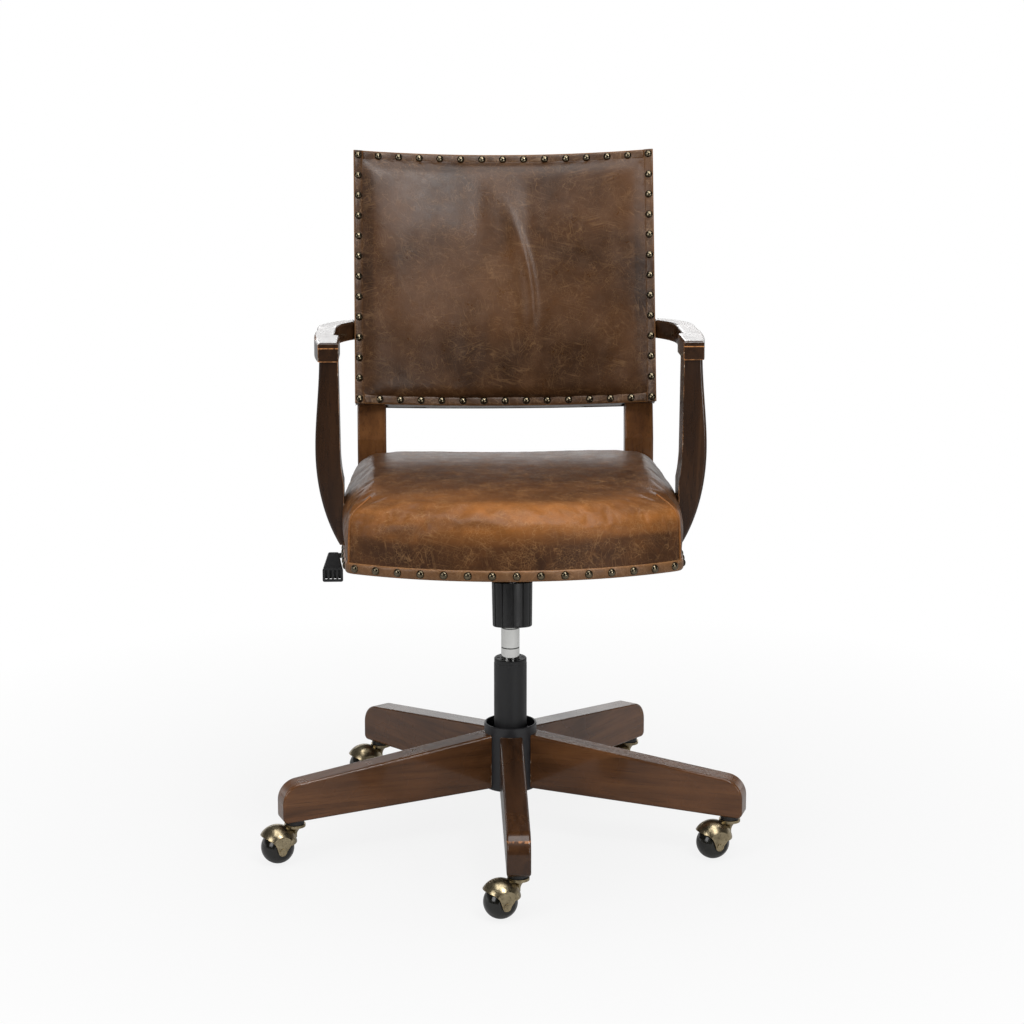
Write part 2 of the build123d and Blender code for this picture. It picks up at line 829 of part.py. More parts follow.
# Fluted cup knob that sets the spring's preload
with BuildPart() as tension_knob:
    with BuildSketch(bolt_section):
        with BuildLine():
            Polyline(
                (bolt_diameter / 2 + shaft_gap, knob_base),
                (knob_low_radius, knob_base),
                (knob_high_radius, knob_base + knob_height),
                (knob_bore, knob_base + knob_height),
                (knob_bore, knob_base + knob_floor),
                (bolt_diameter / 2 + shaft_gap, knob_base + knob_floor),
                close=True,
            )
        make_face()
    revolve(axis=bolt_axis)
    low_rims = tension_knob.edges().filter_by(GeomType.CIRCLE).group_by(bolt_axis)[0]
    fillet(low_rims.sort_by(SortBy.RADIUS)[-1], knob_round)
    groove_half = knob_high_radius - knob_low_radius + knob_groove_depth + knob_groove_width
    with Locations(bolt_plane.offset(knob_base + knob_height / 2)):
        with PolarLocations(knob_high_radius + knob_groove_width, knob_grooves):
            Box(2 * groove_half, knob_groove_width, 2 * knob_height, mode=Mode.SUBTRACT)
save(tension_knob, "tension_knob")

# Seat frame plane, raked back, through the underside of the seat board
rake = math.radians(seat_rake)
seat_plane = Plane(origin=(0, 0, seat_height), x_dir=(1, 0, 0), z_dir=(0, math.sin(rake), math.cos(rake)))
plate_low = -cover_thickness - plate_thickness


def plate_level(back):
    """Height of the middle of the seat plate at a distance behind the column."""
    return seat_height - back * math.tan(rake) + (plate_low + plate_thickness / 2) / math.cos(rake)


with BuildPart() as seat_plate:
    with BuildSketch(seat_plane.offset(plate_low)):
        with Locations((0, -plate_fore)):
            RectangleRounded(plate_width, plate_length, plate_corner)
            with GridLocations(screw_across, screw_along, 2, 2):
                Circle(screw_diameter / 2 + bolt_gap, mode=Mode.SUBTRACT)
    extrude(amount=plate_thickness)
    with BuildSketch(Plane.YZ.offset(ear_inner)):
        with BuildLine():
            ear_bottom = ThreePointArc(
                (ear_depth, tilt_height - ear_depth / 2),
                (0, tilt_height - ear_depth),
                (-ear_depth, tilt_height),
            )
            Polyline(
                ear_bottom @ 1,
                (-ear_fore, plate_level(-ear_fore)),
                (ear_aft, plate_level(ear_aft)),
                (ear_aft, tilt_height - ear_depth / 2),
                ear_bottom @ 0,
            )
        make_face()
        with Locations((0, tilt_height)):
            Circle(pivot_diameter / 2 + shaft_gap, mode=Mode.SUBTRACT)
        with Locations((lever_arm, lever_height)):
            Circle(lever_diameter / 2 + seat_gap, mode=Mode.SUBTRACT)
    ear = extrude(amount=ear_thickness)
    mirror(ear, about=Plane.YZ)
save(seat_plate, "seat_plate")

plate_normal = seat_plane.z_dir
plate_face = seat_plane.offset(plate_low).origin
bolt_rise = (plate_face - bolt_plane.origin).dot(plate_normal) / bolt_plane.z_dir.dot(plate_normal)
bolt_skew = bolt_diameter / 2 * math.tan(lean_knob - rake)
with BuildPart() as tension_bolt:
    with BuildSketch(bolt_plane.offset(knob_base)):
        Circle(bolt_diameter / 2)
    extrude(amount=bolt_rise - bolt_skew - weld_gap - knob_base)
    chamfer(tension_bolt.edges().group_by(bolt_axis)[0], length=edge_break)
save(tension_bolt, "tension_bolt")

# Release lever: a bent rod in the seat plate's ears whose inner end lies over the valve
lever_radius = lever_diameter / 2
with BuildPart() as lever_rod:
    with BuildLine() as lever_path:
        FilletPolyline(
            (0, -lever_diameter, lever_height),
            (0, lever_arm, lever_height),
            (-ear_outer - lever_bend, lever_arm, lever_height),
            (-lever_reach, lever_end_back, lever_end_height),
            (-lever_reach, lever_end_front, lever_end_height + (grip_rear_low - lever_end_height) / 3),
            radius=lever_bend,
        )
    with BuildSketch(Plane(origin=lever_path.line @ 0, z_dir=lever_path.line % 0)):
        Circle(lever_radius)
    sweep()
save(lever_rod, "lever_rod")

with BuildPart() as lever_grip:
    for back, width, low, high in (
        (grip_front, grip_front_width, grip_front_low, grip_front_high),
        (grip_rear, grip_rear_width, grip_rear_low, grip_rear_high),
    ):
        grip_middle = (-lever_reach, back, (low + high) / 2)
        with BuildSketch(Plane(origin=grip_middle, x_dir=(1, 0, 0), z_dir=(0, -1, 0))):
            RectangleRounded(width, high - low, grip_round)
    loft(ruled=True)
    with BuildSketch(Plane(origin=(-lever_reach, grip_front, 0), x_dir=(1, 0, 0), z_dir=(0, -1, 0))):
        with Locations((0, (grip_front_low + grip_front_high) / 2)):
            with GridLocations(grip_slot_pitch, 1, grip_slots, 1):
                Rectangle(grip_slot_width, grip_front_high - grip_front_low - 2 * grip_slot_wall)
    extrude(amount=-grip_slot_depth, mode=Mode.SUBTRACT)
    with BuildSketch(Plane(origin=lever_path.line @ 1, z_dir=lever_path.line % 1)):
        Circle(lever_radius + weld_gap)
    extrude(amount=-2 * lever_bend, mode=Mode.SUBTRACT)
    add(lever_rod.part, mode=Mode.SUBTRACT)
save(lever_grip, "lever_grip")


# Seat: plywood board with side rails, a leather pad over it, a nailed band and a dust cover
def seat_shape(level, growth):
    """Bow-fronted outline of the seat at a level above the board's underside, grown or drawn in."""
    bow_radius = (seat_front_half**2 + seat_bow**2) / (2 * seat_bow)
    front_half = seat_front_half + growth
    middle_half = seat_middle_half + growth
    rear_half = seat_rear_half + growth
    rear = seat_rear + growth
    tip = -seat_front - seat_bow - growth
    corner = tip + bow_radius + growth - math.sqrt((bow_radius + growth) ** 2 - front_half**2)
    with BuildSketch(seat_plane.offset(level)) as shape:
        with BuildLine():
            bow = ThreePointArc((-front_half, corner), (0, tip), (front_half, corner))
            left = ThreePointArc(bow @ 1, (middle_half, 0), (rear_half, rear))
            Line(left @ 1, (-rear_half, rear))
            ThreePointArc((-rear_half, rear), (-middle_half, 0), bow @ 0)
        make_face()
        fillet(shape.vertices(), seat_corner + growth)
    return shape.sketch


screw_hole = screw_diameter + 2 * bolt_gap
arm_bolt_rows = [arm_front + post_setback + post_depth / 2 + side * arm_bolt_pitch / 2 for side in (-1, 1)]
bolt_axis_plane = Plane(origin=seat_plane.origin, x_dir=seat_plane.y_dir, z_dir=(1, 0, 0))


def screw_pattern(radius):
    """Circles at the seat plate's four screws, on the seat's own plane."""
    with BuildSketch(seat_plane) as circles:
        with Locations((0, -plate_fore)):
            with GridLocations(screw_across, screw_along, 2, 2):
                Circle(radius)
    return circles.sketch


def arm_bolt_pattern(radius):
    """Circles at the arm bolts, seen from the side of the seat."""
    with BuildSketch(bolt_axis_plane) as circles:
        with Locations([(row, arm_bolt_level) for row in arm_bolt_rows]):
            Circle(radius)
    return circles.sketch


with BuildPart() as plate_screws:
    extrude(screw_pattern(screw_diameter / 2), amount=screw_length)
    extrude(screw_pattern(screw_diameter / 2), amount=plate_low)
    head_level = Location(seat_plane.z_dir * (plate_low - screw_head_height))
    extrude(screw_pattern(screw_head / 2).moved(head_level), amount=screw_head_height)
save(plate_screws, "plate_screws")

with BuildPart() as dust_cover:
    extrude(seat_shape(-cover_thickness, -cover_inset), amount=cover_thickness)
    extrude(screw_pattern(screw_hole / 2), amount=-2 * cover_thickness, mode=Mode.SUBTRACT)
save(dust_cover, "dust_cover")

with BuildPart() as seat_board:
    extrude(seat_shape(0, -board_inset), amount=board_thickness)
    extrude(screw_pattern(screw_hole / 2), amount=screw_length + bolt_gap, mode=Mode.SUBTRACT)
save(seat_board, "seat_board")

rail_centre = rail_outer - rail_thickness / 2
with BuildPart() as seat_rails:
    with BuildSketch(seat_plane.offset(board_thickness)):
        with Locations((rail_centre, rail_back), (-rail_centre, rail_back)):
            Rectangle(rail_thickness, rail_length)
    extrude(amount=rail_height)
    bolt_holes = arm_bolt_pattern(arm_bolt_diameter / 2 + bolt_gap)
    extrude(bolt_holes, amount=2 * rail_outer, both=True, mode=Mode.SUBTRACT)
save(seat_rails, "seat_rails")

with BuildPart() as seat_pad:
    extrude(seat_shape(0, 0), amount=2 * seat_crown)
    with Locations(seat_plane.from_local_coords(Vector(0, seat_crown_back, seat_crown - seat_crown_radius))):
        Sphere(seat_crown_radius, mode=Mode.INTERSECT)
    fillet(seat_pad.faces().filter_by(GeomType.SPHERE)[0].edges(), seat_roll)
    extrude(seat_shape(0, seat_gap - board_inset), amount=board_thickness + seat_gap, mode=Mode.SUBTRACT)
    with BuildSketch(seat_plane):
        with Locations((rail_centre, rail_back), (-rail_centre, rail_back)):
            Rectangle(rail_thickness + 2 * seat_gap, rail_length + 2 * seat_gap)
    extrude(amount=board_thickness + rail_height + seat_gap, mode=Mode.SUBTRACT)
    with BuildSketch(bolt_axis_plane):
        with Locations([(row, arm_bolt_level) for row in arm_bolt_rows]):
            Circle(arm_bolt_head / 2 + bolt_gap)
    extrude(amount=2 * rail_outer, both=True, mode=Mode.SUBTRACT)
save(seat_pad, "seat_pad")

with BuildPart() as seat_band:
    extrude(seat_shape(0, weld_gap + band_thickness), amount=band_height)
    extrude(seat_shape(0, weld_gap), amount=band_height, mode=Mode.SUBTRACT)
save(seat_band, "seat_band")

# Back: two stiles rise from the seat and lean back, with curved rails and padding between
lean = math.radians(back_lean)
lean_up = Vector(0, math.sin(lean), math.cos(lean))
lean_back = Vector(0, math.cos(lean), -math.sin(lean))
stile_front = seat_rear + weld_gap + band_thickness + seat_gap
stile_inner = stile_outer - stile_width
knee = seat_plane.from_local_coords(Vector(0, stile_front, stile_knee))
stile_top = knee + lean_up * (panel_rise + panel_height - panel_top_gap)
panel_plane = Plane(
    origin=knee + lean_up * panel_rise - lean_back * panel_step,
    x_dir=(1, 0, 0),
    z_dir=lean_up,
)


def side_point(point):
    """A point's place on the plane that looks at the chair from its side."""
    return (point.Y, point.Z)


stile_rear = stile_front + stile_thickness

with BuildPart() as left_stile:
    with BuildSketch(Plane.YZ.offset(stile_inner)):
        with BuildLine():
            Polyline(
                side_point(seat_plane.from_local_coords(Vector(0, stile_front, stile_foot))),
                side_point(knee),
                side_point(stile_top),
                side_point(stile_top + lean_back * stile_top_thickness),
                side_point(knee + lean_up * stile_notch + lean_back * stile_top_thickness),
                side_point(seat_plane.from_local_coords(Vector(0, stile_rear, stile_knee))),
                side_point(seat_plane.from_local_coords(Vector(0, stile_rear, stile_foot))),
                close=True,
            )
        make_face()
    extrude(amount=stile_width)
    fillet(left_stile.edges().filter_by(Axis.X, reverse=True), stile_edge_round)
save(left_stile, "back_stile_left")

with BuildPart() as right_stile:
    add(mirror(left_stile.part, about=Plane.YZ, mode=Mode.PRIVATE))
save(right_stile, "back_stile_right")

panel_half = panel_width / 2
panel_radius = (panel_half**2 + panel_bow**2) / (2 * panel_bow)
stile_back = panel_step + stile_top_thickness


def panel_curve(across, forward):
    """Depth of the back's bowed front at a distance from its middle, moved forward."""
    return math.sqrt((panel_radius - forward) ** 2 - across**2) - panel_radius + panel_bow - panel_border


def bowed_line(half, ends, middle):
    """Arc across the back from one side to the other through its middle."""
    return ThreePointArc((-half, ends), (0, middle), (half, ends))


rail_front = panel_step + seat_gap
with BuildPart() as back_pad:
    cushion_half = panel_half - cushion_border
    cushion_edge = panel_curve(cushion_half, 0)
    with BuildSketch(panel_plane.offset(cushion_border)):
        with BuildLine():
            puff = bowed_line(cushion_half, cushion_edge - cushion_step, panel_curve(0, 0) - cushion_crown)
            root_side = panel_curve(cushion_half, -cushion_root)
            root = bowed_line(cushion_half, root_side, panel_curve(0, -cushion_root))
            Line(puff @ 1, root @ 1)
            Line(puff @ 0, root @ 0)
        make_face()
    extrude(amount=panel_height - 2 * cushion_border)
    puff_middle = Vector(0, panel_curve(0, 0) - cushion_crown, panel_height / 2)
    puff_front = back_pad.faces().sort_by_distance(panel_plane.from_local_coords(puff_middle))[0]
    fillet(puff_front.edges(), cushion_round)
    with BuildSketch(panel_plane):
        with BuildLine():
            face = bowed_line(panel_half, panel_curve(panel_half, 0), panel_curve(0, 0))
            hollow = bowed_line(stile_inner, panel_step - seat_gap, panel_step - seat_gap + cover_bulge)
            Polyline(
                face @ 1,
                (panel_half, stile_back),
                (panel_half - panel_wing, stile_back),
                (panel_half - panel_wing, panel_step - seat_gap),
                hollow @ 1,
            )
            Polyline(
                hollow @ 0,
                (-panel_half + panel_wing, panel_step - seat_gap),
                (-panel_half + panel_wing, stile_back),
                (-panel_half, stile_back),
                face @ 0,
            )
        make_face()
    extrude(amount=panel_height)
    with BuildSketch(panel_plane, panel_plane.offset(panel_height - turn_over)):
        with BuildLine():
            front_edge = bowed_line(panel_half, panel_curve(panel_half, 0), panel_curve(0, 0))
            rear_edge = bowed_line(stile_outer, stile_back, stile_back + cover_bulge)
            Polyline(front_edge @ 1, (panel_half, stile_back), rear_edge @ 1)
            Polyline(rear_edge @ 0, (-panel_half, stile_back), front_edge @ 0)
        make_face()
    extrude(amount=turn_over)
    with BuildSketch(panel_plane):
        for side in (-1, 1):
            with Locations((side * (stile_inner + stile_outer) / 2, panel_step + stile_back / 2)):
                Rectangle(stile_width + 2 * seat_gap, stile_back + 2 * seat_gap)
    extrude(amount=panel_height - turn_over, mode=Mode.SUBTRACT)
save(back_pad, "back_pad")

with BuildPart() as back_band:
    with BuildSketch(panel_plane):
        with BuildLine():
            outer = weld_gap + back_band_thickness
            near = bowed_line(panel_half, panel_curve(panel_half, outer), panel_curve(0, outer))
            far = bowed_line(panel_half, panel_curve(panel_half, weld_gap), panel_curve(0, weld_gap))
            Line(near @ 1, far @ 1)
            Line(near @ 0, far @ 0)
        make_face()
    extrude(amount=panel_height)
    with BuildSketch(panel_plane.offset(band_width)):
        Rectangle(panel_width - 2 * band_width, 2 * panel_half)
    extrude(amount=panel_height - 2 * band_width, mode=Mode.SUBTRACT)
save(back_band, "back_band")


def back_rail(low, height):
    """Curved rail between the stiles, behind the padding, from a height above the panel's bottom."""
    half = stile_inner - weld_gap
    with BuildPart() as rail:
        with BuildSketch(panel_plane.offset(low)):
            with BuildLine():
                near = bowed_line(half, rail_front, rail_front + cover_bulge)
                far = bowed_line(
                    half, rail_front + back_rail_thickness, rail_front + back_rail_thickness + cover_bulge
                )
                Line(near @ 1, far @ 1)
                Line(near @ 0, far @ 0)
            make_face()
        extrude(amount=height)
    return rail


save(back_rail(panel_top_gap, bottom_rail_height), "back_bottom_rail")
save(back_rail(panel_height - panel_top_gap - top_rail_height, top_rail_height), "back_top_rail")

cover_half = stile_outer
cover_front = stile_back + seat_gap
with BuildPart() as back_cover:
    with BuildSketch(panel_plane):
        with BuildLine():
            near = bowed_line(cover_half, cover_front, cover_front + cover_bulge)
            cover_rear = cover_front + back_cover_thickness
            far = bowed_line(cover_half, cover_rear, cover_rear + cover_bulge)
            Line(near @ 1, far @ 1)
            Line(near @ 0, far @ 0)
        make_face()
    extrude(amount=panel_height)
save(back_cover, "back_cover")

# Arms: a bowed rest from the back to a block at the front, on a post bolted to the seat's side
wing_face = panel_half + seat_gap
with BuildPart() as rest_form:
    with BuildSketch(Plane.XY.offset(arm_top - arm_thickness)):
        with BuildLine():
            side_sweep = ThreePointArc(
                (arm_front_outer, arm_front),
                (arm_belly_outer, arm_belly_back),
                (arm_belly_outer - arm_flare, arm_turn_back),
            )
            turn = ThreePointArc(
                side_sweep @ 1,
                ((arm_belly_outer + wing_face) / 2 + arm_turn_bulge, arm_end_back - arm_turn_drop),
                (wing_face, arm_end_back),
            )
            inner_turn = ThreePointArc(
                (wing_face, arm_end_front),
                ((arm_waist_inner + wing_face) / 2 + arm_crook_bulge, arm_end_front - arm_crook_drop),
                (arm_waist_inner, arm_crook_start),
            )
            cove = ThreePointArc(
                (arm_waist_inner, arm_block_back + arm_cove),
                (arm_waist_inner - arm_cove_depth, arm_block_back + arm_cove / 3),
                (arm_front_inner, arm_block_back),
            )
            Line(turn @ 1, inner_turn @ 0)
            Line(inner_turn @ 1, cove @ 0)
            Polyline(cove @ 1, (arm_front_inner, arm_front), side_sweep @ 0)
        make_face()
    extrude(amount=arm_thickness)
    fillet(rest_form.faces().sort_by(Axis.Z)[-1].edges(), arm_edge_round)
with BuildPart() as left_rest:
    add(rest_form.part.moved(seat_plane.location))
save(left_rest, "arm_rest_left")

post_back = arm_front + post_setback + post_depth
post_plane = Plane(
    origin=seat_plane.from_local_coords(Vector(0, post_back, 0)),
    x_dir=(1, 0, 0),
    z_dir=-seat_plane.y_dir,
)
seat_side = seat_middle_half + seat_gap
post_top = arm_top - arm_thickness - weld_gap
with BuildPart() as left_post:
    with BuildSketch(post_plane):
        with BuildLine():
            flank = Spline(
                (post_top_outer, post_top),
                (post_belly_outer - post_taper, (post_top + post_belly) / 2),
                (post_belly_outer, post_belly),
                (post_belly_outer - post_sweep, (post_foot + post_belly) / 2),
                (seat_side + post_toe, post_foot),
            )
            throat = ThreePointArc(
                (seat_side, post_throat),
                (seat_side + post_throat_step, post_throat + post_throat_rise),
                (post_belly_inner, post_throat_top),
            )
            Polyline(flank @ 1, (seat_side, post_foot), throat @ 0)
            Polyline(throat @ 1, (post_top_inner, post_top), flank @ 0)
        make_face()
    extrude(amount=post_depth)
    fillet(left_post.edges().filter_by(GeomType.BSPLINE), arm_edge_round)
    bolt_holes = arm_bolt_pattern(arm_bolt_diameter / 2 + bolt_gap)
    extrude(bolt_holes, amount=rail_outer + arm_bolt_length, mode=Mode.SUBTRACT)
save(left_post, "arm_post_left")

for name, piece in {"arm_rest_right": left_rest, "arm_post_right": left_post}.items():
    with BuildPart() as mirrored:
        add(mirror(piece.part, about=Plane.YZ, mode=Mode.PRIVATE))
    save(mirrored, name)

bolt_head_face = rail_outer - rail_thickness
with BuildPart() as arm_bolts:
    to_head = Location((bolt_head_face - arm_bolt_head_height, 0, 0))
    extrude(arm_bolt_pattern(arm_bolt_head / 2).moved(to_head), amount=arm_bolt_head_height)
    shanks = arm_bolt_pattern(arm_bolt_diameter / 2).moved(to_head)
    extrude(shanks, amount=arm_bolt_head_height + arm_bolt_length)
    mirror(about=Plane.YZ)
save(arm_bolts, "arm_bolts")
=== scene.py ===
import json
import math

import bmesh
import bpy
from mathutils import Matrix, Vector
from mathutils.bvhtree import BVHTree
from mathutils.noise import noise as smooth_noise


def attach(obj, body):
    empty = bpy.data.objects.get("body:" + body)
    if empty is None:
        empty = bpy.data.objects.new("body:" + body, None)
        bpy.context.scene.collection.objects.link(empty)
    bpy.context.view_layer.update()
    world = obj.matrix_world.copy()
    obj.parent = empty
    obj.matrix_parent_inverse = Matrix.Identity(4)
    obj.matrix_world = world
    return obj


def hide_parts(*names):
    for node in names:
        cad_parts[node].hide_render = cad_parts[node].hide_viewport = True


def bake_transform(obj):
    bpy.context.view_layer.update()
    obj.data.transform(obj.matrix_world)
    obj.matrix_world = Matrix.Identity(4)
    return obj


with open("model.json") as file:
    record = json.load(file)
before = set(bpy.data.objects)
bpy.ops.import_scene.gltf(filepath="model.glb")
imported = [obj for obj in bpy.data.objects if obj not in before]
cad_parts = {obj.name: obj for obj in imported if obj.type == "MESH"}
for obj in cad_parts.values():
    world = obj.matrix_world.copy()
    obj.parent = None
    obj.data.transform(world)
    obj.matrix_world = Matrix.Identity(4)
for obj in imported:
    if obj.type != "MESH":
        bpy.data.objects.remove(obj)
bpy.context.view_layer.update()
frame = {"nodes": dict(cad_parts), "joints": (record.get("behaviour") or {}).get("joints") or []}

nodes = frame["nodes"]


# Hub: a short steel tube that the five legs are bolted against, enamelled gunmetal grey,
# with a black pressed cup inside it that takes the stand tube. The enamel is rubbed at the rim.
def new_finish(name):
    """An empty finish and its surface shader."""
    finish = bpy.data.materials.new(name)
    finish.use_nodes = True
    return finish, finish.node_tree.nodes["Principled BSDF"]


def wire(tree, kind, values, settings):
    """A node in a tree, with its settings and its inputs, each a value or another node's output."""
    made = tree.nodes.new(kind)
    for key, value in settings.items():
        setattr(made, key, value)
    for key, value in (values or {}).items():
        if isinstance(value, bpy.types.NodeSocket):
            tree.links.new(value, made.inputs[key])
        else:
            made.inputs[key].default_value = value
    return made


def put(finish, kind, values=None, **settings):
    """A node in a finish."""
    return wire(finish.node_tree, kind, values, settings)


def join(finish, output, socket):
    """Joins a node's output to a socket."""
    finish.node_tree.links.new(output, socket)


def place(finish, scale=(1, 1, 1), turn=(0, 0, 0), shift=(0, 0, 0)):
    """The piece's own coordinates, in metres, turned and then stretched."""
    coords = put(finish, "ShaderNodeTexCoord")
    turned = put(finish, "ShaderNodeMapping", {"Vector": coords.outputs["Object"], "Location": shift})
    turned.inputs["Rotation"].default_value = [math.radians(angle) for angle in turn]
    stretched = put(finish, "ShaderNodeVectorMath", {0: turned.outputs["Vector"], 1: scale},
                    operation="MULTIPLY")
    return stretched.outputs["Vector"]


def cloud(finish, vector, scale, detail=4.0, rough=0.55, bend=0.0):
    """Soft random patches between 0 and 1."""
    made = put(finish, "ShaderNodeTexNoise", {"Vector": vector, "Scale": scale, "Detail": detail})
    made.inputs["Roughness"].default_value = rough
    made.inputs["Distortion"].default_value = bend
    return made.outputs["Fac"]


def ramp(finish, value, *stops):
    """A value turned into colours or greys at the given stops."""
    made = put(finish, "ShaderNodeValToRGB", {"Fac": value})
    steps = made.color_ramp.elements
    while len(steps) < len(stops):
        steps.new(0.5)
    for step, (at, color) in zip(steps, stops):
        step.position = at
        step.color = (*color, 1) if hasattr(color, "__len__") else (color, color, color, 1)
    return made.outputs["Color"]


def mix(finish, amount, first, second, way="MIX"):
    """Two colours mixed by an amount."""
    made = put(finish, "ShaderNodeMix", data_type="RGBA", blend_type=way)
    for key, value in (("Factor", amount), ("A", first), ("B", second)):
        kind = "VALUE" if key == "Factor" else "RGBA"
        socket = [entry for entry in made.inputs if entry.name == key and entry.type == kind][0]
        if isinstance(value, bpy.types.NodeSocket):
            join(finish, value, socket)
        else:
            socket.default_value = value if key == "Factor" else (*value, 1)
    return [entry for entry in made.outputs if entry.type == "RGBA"][0]


def sums(finish, way, first, second):
    """A sum on two values or outputs."""
    return put(finish, "ShaderNodeMath", {0: first, 1: second}, operation=way).outputs["Value"]


def raised(finish, shader, height, distance, strength=1.0):
    """A fine relief of the surface, in metres."""
    bump = put(finish, "ShaderNodeBump", {"Height": height, "Distance": distance, "Strength": strength})
    join(finish, bump.outputs["Normal"], shader.inputs["Normal"])


def worn_edge(finish, radius):
    """How sharply the surface turns near a point: 0 on a flat, near 1 on an edge."""
    rounded = put(finish, "ShaderNodeBevel", {"Radius": radius}, samples=6)
    flat = put(finish, "ShaderNodeNewGeometry")
    likeness = put(finish, "ShaderNodeVectorMath",
                   {0: rounded.outputs["Normal"], 1: flat.outputs["True Normal"]}, operation="DOT_PRODUCT")
    return sums(finish, "SUBTRACT", 1.0, likeness.outputs["Value"])


def coat(finish, *names):
    """Gives a finish to pieces of the frame."""
    for name in names:
        piece = nodes[name]
        piece.data.materials.clear()
        piece.data.materials.append(finish)


def enamel(name, color, worn, rough):
    """Sprayed enamel with a fine orange-peel skin, rubbed lighter along its edges."""
    finish, shader = new_finish(name)
    spots = cloud(finish, place(finish), 900.0, 2.0)
    patches = cloud(finish, place(finish), 35.0, 5.0)
    edge = ramp(finish, worn_edge(finish, 0.0012), (0.05, 0.0), (0.22, 1.0))
    rubbed = sums(finish, "MULTIPLY", edge, ramp(finish, patches, (0.4, 0.15), (0.65, 0.9)))
    tone = ramp(finish, patches, (0.3, color), (0.75, [1.35 * part for part in color]))
    join(finish, mix(finish, rubbed, tone, worn), shader.inputs["Base Color"])
    sheen = ramp(finish, patches, (0.3, rough - 0.06), (0.7, rough + 0.08))
    join(finish, sheen, shader.inputs["Roughness"])
    raised(finish, shader, spots, 0.00006, 0.5)
    return finish


coat(enamel("Hub enamel", (0.012, 0.012, 0.014), (0.32, 0.31, 0.3), 0.34), "hub_tube")
black_enamel = enamel("Black enamel", (0.007, 0.007, 0.008), (0.11, 0.11, 0.115), 0.42)
coat(black_enamel, "hub_core")


# Legs: five sawn walnut legs, stained dark red-brown and lacquered, with the grain along each leg.
# Their edges are rubbed to bare orange wood, and small chips of the lacquer are gone at the tips. The
# pale chips and a widened rubbed line across the front leg's tip are partly painted glints.
def stained_wood(name, along, dark, mid, light, bare, chips, lines=()):
    """Stained and lacquered wood, its grain along a heading in degrees or along the height, with chips
    at its edges and lines rubbed bare, each at a height, before a front and half as wide. The chips and
    lines are partly painted glints."""
    finish, shader = new_finish(name)
    turn = (0, 0, 0) if along is None else (0, 0, along)
    stretch = (34, 34, 2.2) if along is None else (2.2, 34, 34)
    fibre = (520, 520, 14) if along is None else (14, 520, 520)
    grain = cloud(finish, place(finish, stretch, turn), 1.0, 6.0, 0.6, 1.2)
    pores = cloud(finish, place(finish, fibre, turn), 1.0, 3.0, 0.7)
    stain = cloud(finish, place(finish), 9.0, 3.0)
    tone = ramp(finish, grain, (0.28, dark), (0.52, mid), (0.78, light))
    tone = mix(finish, ramp(finish, stain, (0.35, 0.0), (0.7, 0.55)), tone, dark)
    tone = mix(finish, ramp(finish, pores, (0.3, 0.65), (0.45, 0.0)), tone, [0.35 * part for part in dark])
    rub = cloud(finish, place(finish), 26.0, 5.0, 0.65)
    edge = ramp(finish, worn_edge(finish, 0.0022), (0.04, 0.0), (0.2, 1.0))
    rubbed = sums(finish, "MULTIPLY", edge, ramp(finish, rub, (0.42, 0.0), (0.62, 0.85)))
    tone = mix(finish, rubbed, tone, bare)
    flakes = cloud(finish, place(finish, shift=(0.3, 0.1, 0.2)), 120.0, 3.0, 0.6)
    # Pale chips at the edges: partly lacquer chips and partly painted glints.
    chips_and_glints = sums(finish, "MULTIPLY", edge, ramp(finish, flakes, (0.66 - chips, 0.0), (0.68 - chips, 1.0)))
    tone = mix(finish, chips_and_glints, tone, (0.72, 0.58, 0.44))
    # Lines rubbed bare, widened so they also stand as painted highlights along an edge.
    for height, front, half in lines:
        spot = put(finish, "ShaderNodeSeparateXYZ", {"Vector": place(finish)}).outputs
        off = sums(finish, "ABSOLUTE", sums(finish, "SUBTRACT", spot["Z"], height), 0.0)
        line = ramp(finish, sums(finish, "DIVIDE", off, 2 * half), (0.2, 1.0), (0.5, 0.0))
        line = sums(finish, "MULTIPLY", line, sums(finish, "LESS_THAN", spot["Y"], front))
        line = sums(finish, "MULTIPLY", line, ramp(finish, flakes, (0.42, 0.0), (0.56, 0.9)))
        tone = mix(finish, line, tone, bare)
    join(finish, tone, shader.inputs["Base Color"])
    join(finish, ramp(finish, stain, (0.3, 0.22), (0.75, 0.34)), shader.inputs["Roughness"])
    shader.inputs["Specular IOR Level"].default_value = 0.22
    shader.inputs["Coat Weight"].default_value = 0.4
    shader.inputs["Coat Roughness"].default_value = 0.08
    raised(finish, shader, sums(finish, "ADD", pores, grain), 0.00018, 0.35)
    return finish


leg_tones = ((0.05, 0.0195, 0.007), (0.118, 0.047, 0.0165), (0.17, 0.072, 0.0255))
bare_wood = (0.34, 0.14, 0.05)
for count in range(5):
    front = count == 0
    shade, chips = (0.48, 0.16) if front else (1.0, 0.08)
    tones = [[shade * part for part in tone] for tone in leg_tones]
    # The front leg's tip line is partly rubbed wood and partly a painted glint.
    tip_rub_and_glint = ((0.1145, -0.35, 0.002),) if front else ()
    finish = stained_wood(f"Leg wood {count + 1}", 90 - 72 * count, *tones, bare_wood, chips, tip_rub_and_glint)
    coat(finish, f"leg_{count + 1}")

